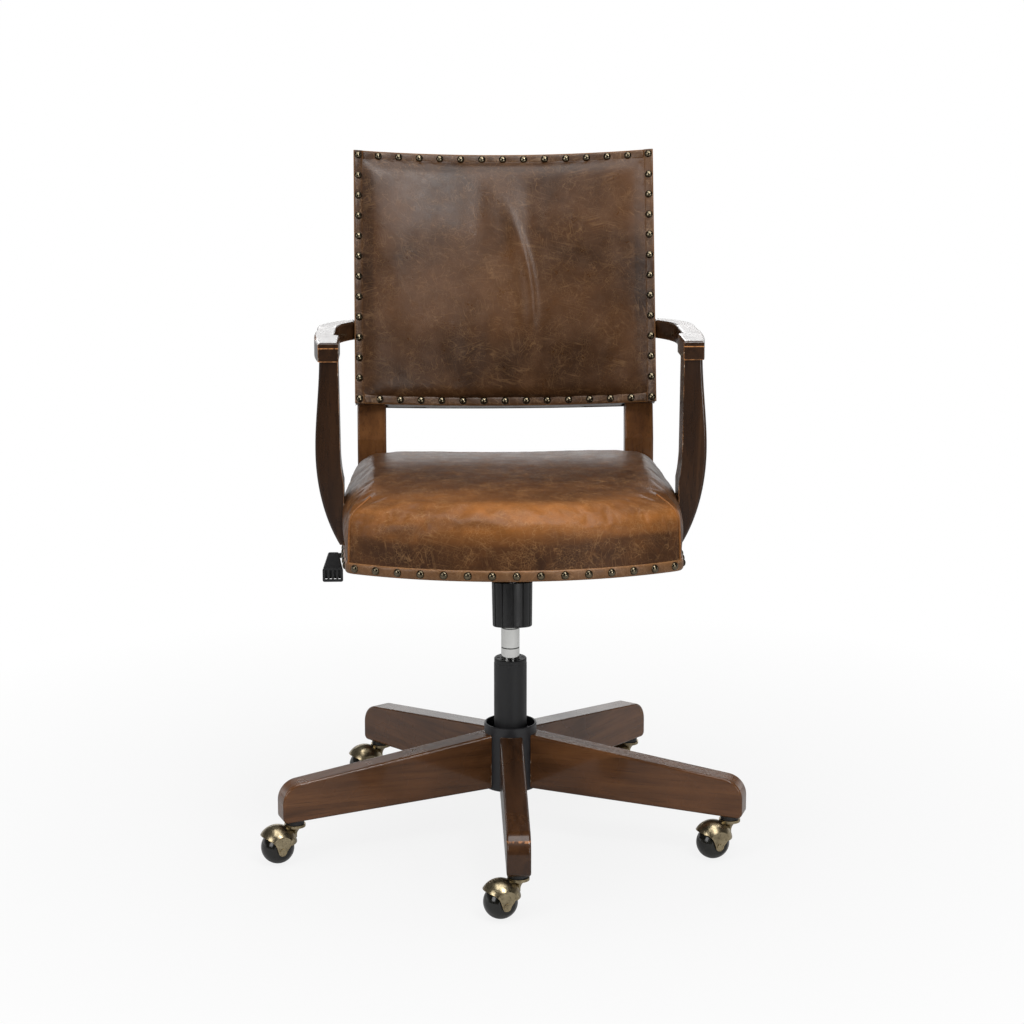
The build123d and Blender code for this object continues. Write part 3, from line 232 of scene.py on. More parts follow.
# Leg bolts: plain zinc-grey steel bolts through the hub, two to a leg, and the hidden turned steel
# of the lift: its rod and clip, its thrust bearing, and the pins and screws of the mechanism.
turned_steel, shader = new_finish("Turned steel")
lathe = cloud(turned_steel, place(turned_steel, (3, 3, 900)), 1.0, 3.0)
shader.inputs["Metallic"].default_value = 1.0
join(turned_steel, ramp(turned_steel, lathe, (0.3, (0.34, 0.34, 0.35)), (0.7, (0.5, 0.5, 0.51))),
     shader.inputs["Base Color"])
join(turned_steel, ramp(turned_steel, lathe, (0.3, 0.3), (0.7, 0.45)), shader.inputs["Roughness"])
raised(turned_steel, shader, lathe, 0.00004, 0.4)
coat(turned_steel, "leg_bolts", "thrust_bearing", "piston_rod", "rod_clip", "pivot_pins", "plate_screws",
     "arm_bolts", "valve_pin", "spring_washer", "tension_bolt")


# Caster sockets, the stand's guide bush and the tension knob: moulded black plastic with a fine
# spark-eroded grain. The sockets are pressed into the legs and the bush into the stand tube.
def moulded_plastic(name, color, rough, grain):
    """Moulded plastic: an even dark colour, a fine grain and a little dust in it."""
    finish, shader = new_finish(name)
    spark = cloud(finish, place(finish), grain, 3.0, 0.6)
    dust = cloud(finish, place(finish), 60.0, 5.0, 0.7)
    tone = mix(finish, ramp(finish, dust, (0.5, 0.0), (0.85, 0.3)), color, [part + 0.035 for part in color])
    join(finish, tone, shader.inputs["Base Color"])
    join(finish, ramp(finish, dust, (0.35, rough), (0.75, rough + 0.15)), shader.inputs["Roughness"])
    raised(finish, shader, spark, 0.00008, 0.4)
    return finish


satin_plastic = moulded_plastic("Satin black plastic", (0.009, 0.009, 0.0095), 0.4, 1600.0)
coat(satin_plastic, "caster_sockets", "guide_bush", "tension_knob")

# Caster hoods: pressed brass, antique plated to a dark bronze and polished, so the brim's cut edge
# and the crown are brighter than the hollows, where the dark plating stays.
antique_brass, shader = new_finish("Antique brass")
tarnish = cloud(antique_brass, place(antique_brass), 70.0, 6.0, 0.65)
brim = ramp(antique_brass, worn_edge(antique_brass, 0.0011), (0.06, 0.0), (0.3, 1.0))
plate = ramp(antique_brass, tarnish, (0.25, (0.15, 0.118, 0.074)), (0.5, (0.34, 0.28, 0.175)),
             (0.8, (0.5, 0.42, 0.275)))
specks = cloud(antique_brass, place(antique_brass, shift=(1, 2, 3)), 330.0, 3.0, 0.6)
pitted = ramp(antique_brass, specks, (0.3, 0.75), (0.46, 0.0))
plate = mix(antique_brass, pitted, plate, (0.06, 0.048, 0.03))
shader.inputs["Metallic"].default_value = 1.0
join(antique_brass, mix(antique_brass, brim, plate, (0.58, 0.42, 0.2)), shader.inputs["Base Color"])
join(antique_brass, ramp(antique_brass, tarnish, (0.3, 0.36), (0.75, 0.22)), shader.inputs["Roughness"])
raised(antique_brass, shader, tarnish, 0.00012, 0.25)
coat(antique_brass, *[f"caster_{piece}_{count}" for piece in ("horn", "pins") for count in range(1, 6)])

# Caster balls: hard black-brown wheels turned from one piece, glossy where they roll and scuffed
# elsewhere. Each runs on the axle inside its hood.
ball_finish, shader = new_finish("Ball wheel")
scuff = cloud(ball_finish, place(ball_finish), 55.0, 6.0, 0.7)
join(ball_finish, ramp(ball_finish, scuff, (0.35, (0.006, 0.0058, 0.0045)), (0.8, (0.017, 0.016, 0.012))),
     shader.inputs["Base Color"])
join(ball_finish, ramp(ball_finish, scuff, (0.35, 0.12), (0.8, 0.3)), shader.inputs["Roughness"])
raised(ball_finish, shader, scuff, 0.0001, 0.2)
coat(ball_finish, *[f"caster_wheel_{count}" for count in range(1, 6)])

# Stand tube: drawn steel tube with a matt black powder coat, wedged in the hub's cup. It is rubbed
# grey along its top edge.
coat(enamel("Stand tube powder coat", (0.011, 0.011, 0.012), (0.09, 0.09, 0.095), 0.5), "stand_tube")

# Gas cylinder: a ground and chromed steel tube that slides in the guide bush, with faint rings from
# grinding, a film of grease and two thin dark rings of painted shade round it, where its grooves lie.
chrome, shader = new_finish("Ground chrome")
rings = cloud(chrome, place(chrome, (2, 2, 1400)), 1.0, 2.0)
film = cloud(chrome, place(chrome), 40.0, 4.0)
shader.inputs["Metallic"].default_value = 1.0
plate = ramp(chrome, film, (0.3, (0.68, 0.68, 0.66)), (0.7, (0.78, 0.78, 0.76)))
level = put(chrome, "ShaderNodeSeparateXYZ", {"Vector": place(chrome)}).outputs["Z"]
for ring_height in (0.3, 0.331):
    off = sums(chrome, "ABSOLUTE", sums(chrome, "SUBTRACT", level, ring_height), 0.0)
    # Each dark ring is painted shade standing in for a groove in the tube.
    groove_shade = ramp(chrome, sums(chrome, "MULTIPLY", off, 100.0), (0.06, 0.92), (0.12, 0.0))
    plate = mix(chrome, groove_shade, plate, (0.06, 0.06, 0.055))
join(chrome, plate, shader.inputs["Base Color"])
join(chrome, ramp(chrome, film, (0.3, 0.06), (0.75, 0.13)), shader.inputs["Roughness"])
raised(chrome, shader, rings, 0.00002, 0.5)
coat(chrome, "gas_cylinder")

# Tilt mechanism and seat plate: pressed steel sheet, folded and welded, in black enamel. The plate is
# screwed under the seat board, and the housing is wedged on the cylinder's taper.
coat(black_enamel, "mech_housing", "seat_plate", "lever_rod")

# Tension spring: dark steel wire, wound between the housing's nose and the knob's washer. Its head sits
# on the nose and its foot turns on the washer, and the wire is cut into two pieces: the wound turns and
# the foot turns.
coat(enamel("Spring enamel", (0.02, 0.02, 0.022), (0.2, 0.2, 0.21), 0.35), "tension_spring")
knob_joint = next(joint for joint in frame["joints"] if joint["name"] == "knob_turn")
nose, bolt_line = Vector(knob_joint["pos_m"]), Vector(knob_joint["axis"])
bolt_side = bolt_line.cross(Vector((1, 0, 0)))
wire_radius, wound_turns, foot_turns = 0.0025, 6, 2


def new_piece(name, mesh):
    """A piece made from a mesh, at the origin."""
    piece = bpy.data.objects.new(name, mesh)
    bpy.context.collection.objects.link(piece)
    return piece


def spring_stretch(name, upper):
    """The spring's wire above its foot turns, or those turns, as a piece of its own."""
    coil = bmesh.new()
    coil.from_mesh(nodes["tension_spring"].data)
    bmesh.ops.remove_doubles(coil, verts=coil.verts, dist=1e-6)
    heights = [(vertex.co - nose).dot(bolt_line) for vertex in coil.verts]
    low = min(heights) + wire_radius
    pitch = (max(heights) - wire_radius - low) / wound_turns
    cut_off = []
    for face in coil.faces:
        arm = face.calc_center_median() - nose
        part = math.atan2(arm.dot(bolt_side), arm.x) / math.tau
        turn = round((arm.dot(bolt_line) - low) / pitch - part) + part
        if (turn > foot_turns) != upper:
            cut_off.append(face)
    bmesh.ops.delete(coil, geom=cut_off, context="FACES")
    bmesh.ops.holes_fill(coil, edges=coil.edges, sides=0)
    mesh = nodes["tension_spring"].data.copy()
    coil.to_mesh(mesh)
    coil.free()
    stretch = new_piece(name, mesh)
    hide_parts("tension_spring")
    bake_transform(stretch)


spring_stretch("wound_spring", True)
spring_stretch("spring_foot", False)

# Tension knob: a moulded cup with twelve flutes that screws up the seat's bolt. Its wall is thinned to
# two millimetres, so the spring has room to lean inside the cup while the seat tilts.
cup_knob = new_piece("cup_knob", nodes["tension_knob"].data.copy())
bore_radius, bore_slack, thinned = 0.023, 0.0006, 0.0036
for vertex in cup_knob.data.vertices:
    arm = vertex.co - nose
    outward = arm - bolt_line * arm.dot(bolt_line)
    if abs(outward.length - bore_radius) < bore_slack:
        vertex.co += outward.normalized() * thinned
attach(cup_knob, "knob")
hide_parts("tension_knob")

# Lever grip: a moulded paddle in dark grey satin plastic, pushed on the end of the bent lever rod.
# Its end face has four slots.
coat(moulded_plastic("Lever plastic", (0.011, 0.011, 0.012), 0.34, 1300.0), "lever_grip")

# Seat board and rails: plain beech that the upholstery hides, glued up, with a black woven dust cloth
# stretched below. The back's two curved rails are of the same wood.
coat(stained_wood("Frame beech", None, (0.28, 0.17, 0.09), (0.42, 0.27, 0.15), (0.5, 0.34, 0.2),
                  (0.55, 0.4, 0.25), 0.0), "seat_board", "seat_rails", "back_top_rail", "back_bottom_rail")
dust_cloth, shader = new_finish("Dust cloth")
weave = {"Vector": place(dust_cloth), "Scale": 420.0, "Distortion": 0.6}
warp, weft = [put(dust_cloth, "ShaderNodeTexWave", weave, bands_direction=way) for way in ("X", "Y")]
threads = sums(dust_cloth, "MULTIPLY", warp.outputs["Fac"], weft.outputs["Fac"])
join(dust_cloth, ramp(dust_cloth, threads, (0.2, 0.006), (0.8, 0.02)), shader.inputs["Base Color"])
shader.inputs["Roughness"].default_value = 0.9
raised(dust_cloth, shader, threads, 0.0003, 0.5)
coat(dust_cloth, "dust_cover")


# Seat pad: foam under one waxed hide pulled over the bowed front and tacked below. The hide is dark
# brown, rubbed to orange tan on the front roll, scratched all over, and greyer where light rakes it.
def scratches(finish, scale, turns, thin):
    """Fine pale scratches that cross at the given turns."""
    found = None
    for step, turn in enumerate(turns):
        vector = place(finish, (scale * 0.05, scale, scale), turn, (step * 1.7, step * 0.9, step * 0.4))
        streak = cloud(finish, vector, 1.0, 1.0, 0.4)
        line = ramp(finish, streak, (0.5 - thin, 0.0), (0.5, 1.0), (0.5 + thin, 0.0))
        patch = cloud(finish, place(finish, shift=(step * 2.1, 0.3, 0.7)), 26.0, 2.0)
        line = sums(finish, "MULTIPLY", line, ramp(finish, patch, (0.5, 0.0), (0.7, 1.0)))
        found = line if found is None else sums(finish, "MAXIMUM", found, line)
    return found


def waxed_hide(name, dark, mid, rubbed, pale, scratched, veined, gloss, shine):
    """Waxed hide: mottled, veined and scratched, with a pebble grain, and rubbed by its rub attribute,
    which on the back also holds painted shade.
    """
    finish, shader = new_finish(name)
    broad = cloud(finish, place(finish), 6.5, 5.0, 0.6, 0.4)
    mottle = cloud(finish, place(finish, shift=(3, 1, 2)), 38.0, 6.0, 0.65)
    worn = put(finish, "ShaderNodeAttribute", attribute_name="rub").outputs["Fac"]
    wear = sums(finish, "MULTIPLY_ADD", worn, 0.5)
    join(finish, broad, wear.node.inputs[2])
    tone = ramp(finish, wear, (0.42, dark), (0.8, mid))
    tone = mix(finish, ramp(finish, mottle, (0.48, 0.0), (0.85, 0.22)), tone, rubbed)
    rubbing = sums(finish, "MULTIPLY", ramp(finish, worn, (0.4, 0.0), (1.0, 1.0)),
                   ramp(finish, mottle, (0.2, 0.35), (0.62, 1.0)))
    tone = mix(finish, rubbing, tone, rubbed)
    drift = put(finish, "ShaderNodeTexNoise", {"Vector": place(finish), "Scale": 160.0, "Detail": 3.0})
    bent = put(finish, "ShaderNodeVectorMath", {0: drift.outputs["Color"], 1: (0.004, 0.004, 0.004),
                                                2: place(finish)}, operation="MULTIPLY_ADD")
    for scale, thin in ((105.0, 0.035), (230.0, 0.06)):
        cells = put(finish, "ShaderNodeTexVoronoi", {"Vector": bent.outputs["Vector"], "Scale": scale},
                    feature="DISTANCE_TO_EDGE").outputs["Distance"]
        broken = cloud(finish, place(finish, shift=(0, scale, 2)), 45.0, 3.0)
        veins = sums(finish, "MULTIPLY", ramp(finish, cells, (0.0, veined), (thin, 0.0)),
                     ramp(finish, broken, (0.47, 0.0), (0.66, 1.0)))
        tone = mix(finish, veins, tone, pale)
    turns = ((0, 14, 4), (0, -38, -5), (0, 58, 8), (0, 100, -6), (0, -12, 12))
    lines = scratches(finish, 120.0, turns, 0.026)
    tone = mix(finish, sums(finish, "MULTIPLY", lines, scratched), tone, pale)
    pebble = put(finish, "ShaderNodeTexVoronoi", {"Vector": place(finish), "Scale": 620.0},
                 feature="DISTANCE_TO_EDGE").outputs["Distance"]
    grain = ramp(finish, pebble, (0.0, 0.0), (0.25, 1.0))
    tone = mix(finish, ramp(finish, pebble, (0.0, 0.16), (0.12, 0.0)), tone, [0.4 * part for part in dark])
    join(finish, tone, shader.inputs["Base Color"])
    join(finish, ramp(finish, mottle, (0.3, gloss), (0.75, gloss + 0.14)), shader.inputs["Roughness"])
    shader.inputs["Specular IOR Level"].default_value = shine
    wrinkle = cloud(finish, place(finish), 130.0, 4.0, 0.6, 0.8)
    height = sums(finish, "ADD", sums(finish, "MULTIPLY", grain, 0.35), wrinkle)
    raised(finish, shader, height, 0.0004, 0.3)
    return finish


def bake_mesh(piece):
    """Applies a piece's modifiers to its mesh."""
    shown = bpy.context.evaluated_depsgraph_get()
    mesh = bpy.data.meshes.new_from_object(piece.evaluated_get(shown))
    piece.modifiers.clear()
    piece.data = mesh
    mesh.name = piece.name


def pad_copy(name, source, cell):
    """A padded piece started from the frame's own pad, remeshed into even cells."""
    mesh = nodes[source].data.copy()
    pad = new_piece(name, mesh)
    shell = bmesh.new()
    shell.from_mesh(mesh)
    bmesh.ops.remove_doubles(shell, verts=shell.verts, dist=0.00005)
    shell.to_mesh(mesh)
    shell.free()
    remesh = pad.modifiers.new("Even cells", "REMESH")
    remesh.mode = "VOXEL"
    remesh.voxel_size = cell
    bake_mesh(pad)
    return pad


def swell(pad, held, pressure, most):
    """Blows a pad up as stuffed leather, with some points held and no point moved further than most."""
    start = [vertex.co.copy() for vertex in pad.data.vertices]
    pins = pad.vertex_groups.new(name="held")
    for vertex in pad.data.vertices:
        pins.add([vertex.index], held(vertex.co), "REPLACE")
    cloth = pad.modifiers.new("Hide", "CLOTH").settings
    cloth.quality = 5
    cloth.mass = 0.4
    cloth.tension_stiffness = 18
    cloth.compression_stiffness = 18
    cloth.shear_stiffness = 9
    cloth.bending_stiffness = 2.5
    cloth.use_pressure = True
    cloth.uniform_pressure_force = pressure
    cloth.vertex_group_mass = "held"
    cloth.effector_weights.gravity = 0
    for count in range(1, 21):
        bpy.context.scene.frame_set(count)
    bake_mesh(pad)
    bpy.context.scene.frame_set(1)
    for vertex, origin in zip(pad.data.vertices, start):
        moved = vertex.co - origin
        if moved.length > most:
            vertex.co = origin + moved * (most / moved.length)


rake = math.radians(3.6)
seat_up = Vector((0, math.sin(rake), math.cos(rake)))
seat_back = Vector((0, math.cos(rake), -math.sin(rake)))
seat_base = Vector((0, 0, 0.455))


def on_seat(point):
    """A point in the seat's own axes: across, back and up from the board's underside."""
    step = Vector(point) - seat_base
    return Vector((step.x, step.dot(seat_back), step.dot(seat_up)))


def between(value, low, high):
    """0 below low, 1 above high, and a smooth rise between."""
    share = max(0.0, min(1.0, (value - low) / (high - low)))
    return share * share * (3 - 2 * share)


seat_pad = pad_copy("seat_pad_hide", "seat_pad", 0.005)
swell(seat_pad, lambda point: 1.0 - between(on_seat(point).z, 0.02, 0.04), 2.0, 0.006)
hide_seat = waxed_hide("Seat hide", (0.034, 0.0125, 0.004), (0.092, 0.035, 0.0105), (0.26, 0.093, 0.019),
                       (0.4, 0.215, 0.09), 0.34, 0.36, 0.33, 0.18)
seat_pad.data.materials.clear()
seat_pad.data.materials.append(hide_seat)


def paint_rub(piece, amount):
    """Writes how rubbed the hide is at each point, with any shade that is painted into it."""
    layer = piece.data.attributes.new("rub", "FLOAT", "POINT")
    for vertex, entry in zip(piece.data.vertices, layer.data):
        entry.value = amount(vertex.co)


def smooth_shade(piece):
    """Shades a piece as a smooth surface."""
    piece.data.polygons.foreach_set("use_smooth", [True] * len(piece.data.polygons))


def refine(piece):
    """Divides a piece's faces once and rounds them."""
    finer = piece.modifiers.new("Finer", "SUBSURF")
    finer.levels = finer.render_levels = 1
    bake_mesh(piece)


def seat_rub(point):
    """The front roll is rubbed most, and the whole front edge of the top a little."""
    across, back, up = on_seat(point)
    front = -0.248 + 0.9 * across * across
    rear = back - front
    fading = 0.55 * between(rear, 0.005, 0.04)
    faded = 0.45 * between(rear, 0.05, 0.17)
    roll = between(up, 0.03, 0.085) * (1.0 - fading - faded)
    streak = smooth_noise(Vector((point.x * 7, point.y * 20, up * 70)))
    return min(1.0, roll * (0.8 + 0.5 * streak) + 0.1 - 0.3 * between(rear, 0.08, 0.2))


paint_rub(seat_pad, seat_rub)
smooth_shade(seat_pad)
refine(seat_pad)
for vertex in seat_pad.data.vertices:
    across, back, up = on_seat(vertex.co)
    levelled = 0.2 * across**2 * (1.0 - between(abs(across), 0.2, 0.238))
    dip = 0.0025 * math.exp(-((across / 0.1) ** 2))
    vertex.co += seat_up * (levelled - dip) * between(up, 0.085, 0.1) * between(back, -0.17, 0.03)
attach(seat_pad, "seat")
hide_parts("seat_pad")

# Seat welts: a piped seam at each front corner, where the front and side panels of the hide meet.
# It is rubbed paler than the panels.
welt_line = [(0.2385, -0.189, 0.013), (0.2385, -0.189, 0.045), (0.2385, -0.189, 0.066),
             (0.237, -0.187, 0.08), (0.231, -0.179, 0.092), (0.221, -0.166, 0.1), (0.208, -0.15, 0.104)]
welt_radius, welt_proud = 0.0019, 0.0006
hide_surface = BVHTree.FromPolygons([vertex.co for vertex in seat_pad.data.vertices],
                                    [face.vertices for face in seat_pad.data.polygons])
welts = bpy.data.curves.new("seat_welts", "CURVE")
welts.dimensions = "3D"
welts.bevel_depth = welt_radius
welts.bevel_resolution = 2
welts.use_fill_caps = True
for side in (-1, 1):
    run = welts.splines.new("NURBS")
    run.points.add(len(welt_line) - 1)
    run.use_endpoint_u = True
    run.order_u = 4
    run.resolution_u = 8
    for point, (across, back, up) in zip(run.points, welt_line):
        near = seat_base + Vector((side * across, 0, 0)) + seat_back * back + seat_up * up
        touch, outward, face, gap = hide_surface.find_nearest(near)
        point.co = (*(touch + outward * welt_proud), 1)
piping = new_piece("seat_welts", welts)
welt_mesh = bpy.data.meshes.new_from_object(piping.evaluated_get(bpy.context.evaluated_depsgraph_get()))
bpy.data.objects.remove(piping)
seat_welts = new_piece("seat_welts", welt_mesh)
welt_mesh.materials.clear()
welt_mesh.materials.append(hide_seat)
paint_rub(seat_welts, lambda point: 0.75)
smooth_shade(seat_welts)
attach(seat_welts, "seat")

# Back pad: a thin foam cushion under the same hide, stretched over the bowed frame, with a flat border
# that the nailed strip covers. A slack fold runs down right of the middle.
back_pad = pad_copy("back_pad_hide", "back_pad", 0.005)
lean = math.radians(18)
lean_up = Vector((0, math.sin(lean), math.cos(lean)))
lean_back = Vector((0, math.cos(lean), -math.sin(lean)))
knee = seat_base + seat_back * 0.2094 + seat_up * 0.135
panel_base = knee + lean_up * 0.054 - lean_back * 0.017
panel_half, panel_top, panel_bow, border = 0.2355, 0.4, 0.045, 0.014
bow_circle = (panel_half**2 + panel_bow**2) / (2 * panel_bow)


def on_panel(point):
    """A point in the back's own axes: across, behind and up from the panel's bottom."""
    step = Vector(point) - panel_base
    return Vector((step.x, step.dot(lean_back), step.dot(lean_up)))


def front_line(across, forward=0.0):
    """How far behind the panel's plane its bowed border lies, or a surface forward of it."""
    return math.sqrt((bow_circle - forward) ** 2 - across**2) - bow_circle + panel_bow - border


def cushion_held(point):
    """The border, the sides and the rear of the back don't swell."""
    across, behind, up = on_panel(point)
    inside = between(0.2165 - abs(across), 0.0, 0.014) * between(min(up, panel_top - up), 0.019, 0.033)
    return 1.0 - inside * (1.0 if behind < front_line(across) - 0.001 else 0.0)


def soften(pad, loose, passes):
    """Rounds off the loose points of a pad as the foam under a hide does."""
    shell = bmesh.new()
    shell.from_mesh(pad.data)
    soft = [vertex for vertex in shell.verts if loose(vertex.co)]
    for count in range(passes):
        bmesh.ops.smooth_vert(shell, verts=soft, factor=0.5,
                              use_axis_x=True, use_axis_y=True, use_axis_z=True)
    shell.to_mesh(pad.data)
    shell.free()


def cushion_front(point):
    """The cushion's front, inside the nailed strip."""
    across, behind, up = on_panel(point)
    inside = min(0.2205 - abs(across), up - 0.015, 0.385 - up)
    return inside > 0.0005 and behind < front_line(across) + 0.001


soften(back_pad, cushion_front, 30)
swell(back_pad, cushion_held, 1.5, 0.006)
soften(back_pad, cushion_front, 16)
hide_back = waxed_hide("Back hide", (0.022, 0.0088, 0.0031), (0.076, 0.032, 0.0115), (0.15, 0.068, 0.025),
                       (0.22, 0.122, 0.055), 0.34, 0.3, 0.26, 0.27)
back_pad.data.materials.clear()
back_pad.data.materials.append(hide_back)


def back_rub_and_shade(point):
    """The hide is rubbed where a sitter leans, left of the fold, and has painted shade at the foot and the
    edges.
    """
    across, behind, up = on_panel(point)
    lean_on = math.exp(-(((across + 0.02) / 0.09) ** 2) - ((up - 0.2) / 0.11) ** 2)
    edge = min(0.235 - abs(across), up, panel_top - up)
    foot = 1.0 - between(up, 0.03, 0.16)
    patches = 0.22 * smooth_noise(point * 8.0)
    # Less rub at the foot and near the border is painted shade where the cushion curves under.
    return max(0.0, 0.2 + 0.24 * lean_on + patches - 0.3 * foot - 0.2 * (edge < 0.03))


paint_rub(back_pad, back_rub_and_shade)
smooth_shade(back_pad)
refine(back_pad)


def slack(across, up):
    """How far the hide stands off the foam along its fold."""
    fold = 0.044 - 1.23 * (up - 0.14) ** 2
    ends = between(up, 0.1, 0.15) * (1.0 - between(up, 0.19, 0.35))
    off = across - fold
    flank = 0.014 if off < 0 else 0.007
    return 0.0036 * ends * math.exp(-((off / flank) ** 2))


for vertex in back_pad.data.vertices:
    across, behind, up = on_panel(vertex.co)
    if behind < front_line(across, 0.006):
        vertex.co -= lean_back * slack(across, up)
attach(back_pad, "seat")
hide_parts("back_pad")
coat(hide_back, "back_cover")

# Nailed strips: narrow strips of the same hide with cut edges, laid over the hem of the seat and
# round the back's border. Each nail pulls its strip down, so the strip puffs up between the nails,
# and the edges are paler where the knife has bared them.
strip_finish = waxed_hide("Strip hide", (0.03, 0.013, 0.005), (0.078, 0.035, 0.0135), (0.27, 0.125, 0.045),
                          (0.42, 0.26, 0.14), 0.3, 0.2, 0.32, 0.3)


def lay_strip(name, replaced, width, worn, runs):
    """A closed strip over one or more runs, each a surface, its length and the places of its nails."""
    hide, puff, across_count, cell = 0.0011, 0.0018, 8, 0.0022
    points, faces, rub = [], [], []
    for surface, start, end, closed, gap in runs:
        count = max(2, round((end - start) / cell))
        rows = count if closed else count + 1
        ring = across_count + 3
        first = len(points)
        for row in range(rows):
            along = start + (end - start) * row / count
            lift = abs(math.sin(math.pi * along / gap)) ** 0.7
            for column in range(across_count + 1):
                share = 2 * column / across_count - 1
                height = hide + puff * lift * (1 - share**4) - 0.0005 * share**8
                points.append(surface(along, share * width / 2, height))
                rub.append(worn + (0.95 - worn) * abs(share) ** 5)
            for share in (1, -1):
                points.append(surface(along, share * width / 2, 0.0001))
                rub.append(0.9)
        for row in range(count):
            near = first + row * ring
            far = first + (row + 1) % rows * ring
            for column in range(ring):
                after = (column + 1) % ring
                faces.append((near + column, near + after, far + after, far + column))
        if not closed:
            faces.append(tuple(first + column for column in reversed(range(ring))))
            faces.append(tuple(first + count * ring + column for column in range(ring)))
    mesh = bpy.data.meshes.new(name)
    mesh.from_pydata(points, [], faces)
    layer = mesh.attributes.new("rub", "FLOAT", "POINT")
    layer.data.foreach_set("value", rub)
    shell = bmesh.new()
    shell.from_mesh(mesh)
    bmesh.ops.recalc_face_normals(shell, faces=shell.faces)
    shell.to_mesh(mesh)
    shell.free()
    mesh.materials.append(strip_finish)
    strip = new_piece(name, mesh)
    smooth_shade(strip)
    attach(strip, "seat")
    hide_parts(replaced)
    return strip


strip_width = 0.015
row_half, row_low, row_high = panel_half - strip_width / 2, strip_width / 2, panel_top - strip_width / 2
row_reach = bow_circle * math.asin(row_half / bow_circle)
across_gap, up_gap = 2 * row_reach / 14, (row_high - row_low) / 12


def panel_point(across, up, forward):
    """A point in front of the back's border."""
    return panel_base + Vector((across, 0, 0)) + lean_back * front_line(across, forward) + lean_up * up


def level_run(middle):
    """A run across the back, measured along its bow from the corner nail."""
    def surface(along, aside, height):
        return panel_point(bow_circle * math.sin((along - row_reach) / bow_circle), middle + aside, height)
    butt = row_reach - bow_circle * math.asin((panel_half - strip_width) / bow_circle)
    return surface, butt, 2 * row_reach - butt, False, across_gap


def upright_run(middle):
    """A run up one side of the back, measured from its lowest nail."""
    def surface(along, aside, height):
        return panel_point(middle + aside, row_low + along, height)
    return surface, -row_low, panel_top - row_low, False, up_gap


back_strips = lay_strip("back_strips", "back_band", strip_width, 0.1, [
    level_run(row_high), level_run(row_low), upright_run(row_half), upright_run(-row_half)])

hem_height, hem_count, nail_pitch = 0.016, 360, 0.0345
hem_tree = BVHTree.FromObject(nodes["seat_band"], bpy.context.evaluated_depsgraph_get())
hem_line = []
for count in range(hem_count):
    angle = math.tau * count / hem_count - math.pi / 2
    outward = Vector((math.cos(angle), 0, 0)) + seat_back * math.sin(angle)
    hem_line.append(hem_tree.ray_cast(seat_base + seat_up * hem_height / 2, outward)[0])
hem_steps = [(hem_line[(count + 1) % hem_count] - hem_line[count]).length for count in range(hem_count)]
hem_length = sum(hem_steps)
hem_gap = hem_length / round(hem_length / nail_pitch)


def hem_surface(along, aside, height):
    """A point off the seat's hem, measured round from the middle of the front."""
    along %= hem_length
    count = 0
    while count < hem_count - 1 and along > hem_steps[count]:
        along -= hem_steps[count]
        count += 1
    start, end = hem_line[count], hem_line[(count + 1) % hem_count]
    outward = (end - start).cross(seat_up).normalized()
    return start + (end - start) * (along / hem_steps[count]) + seat_up * aside + outward * height


hem_run = (hem_surface, 0, hem_length, True, hem_gap)
seat_strip = lay_strip("seat_strip", "seat_band", hem_height, 0.6, [hem_run])

# Nails: domed brass tacks, antique plated, driven through the strips by hand at about an inch and a
# quarter, so each sits a little askew. Their crowns are rubbed bright, and the dark ring below them is
# partly plating left there and partly painted shade where the dome meets the strip.
nail_finish, shader = new_finish("Nail brass")
spots = cloud(nail_finish, place(nail_finish), 260.0, 4.0, 0.6)
crown = put(nail_finish, "ShaderNodeAttribute", attribute_name="crown").outputs["Fac"]
# The dark low end of this ramp is partly painted shade at the foot of each dome.
plating = ramp(nail_finish, crown, (0.1, (0.011, 0.009, 0.007)), (0.45, (0.06, 0.048, 0.03)),
               (0.9, (0.17, 0.14, 0.092)))
shader.inputs["Metallic"].default_value = 1.0
join(nail_finish, mix(nail_finish, ramp(nail_finish, spots, (0.45, 0.0), (0.75, 0.6)), plating,
                      (0.04, 0.03, 0.02)), shader.inputs["Base Color"])
join(nail_finish, ramp(nail_finish, spots, (0.3, 0.16), (0.7, 0.32)), shader.inputs["Roughness"])

nail_row = bpy.data.node_groups.new("Nail row", "GeometryNodeTree")
nail_inputs = {}
for name, kind, value in (("Line", "NodeSocketGeometry", None), ("Strip", "NodeSocketObject", None),
                          ("Spacing", "NodeSocketFloat", 0.0325), ("Radius", "NodeSocketFloat", 0.0061),
                          ("Dome", "NodeSocketFloat", 0.0042), ("Askew", "NodeSocketFloat", 0.1),
                          ("Seed", "NodeSocketInt", 7)):
    socket = nail_row.interface.new_socket(name, in_out="INPUT", socket_type=kind)
    nail_inputs[name] = socket.identifier
    if value is not None:
        socket.default_value = value
nail_row.interface.new_socket("Nails", in_out="OUTPUT", socket_type="NodeSocketGeometry")


def step(kind, values=None, **settings):
    """A node of the nail row."""
    return wire(nail_row, kind, values, settings)


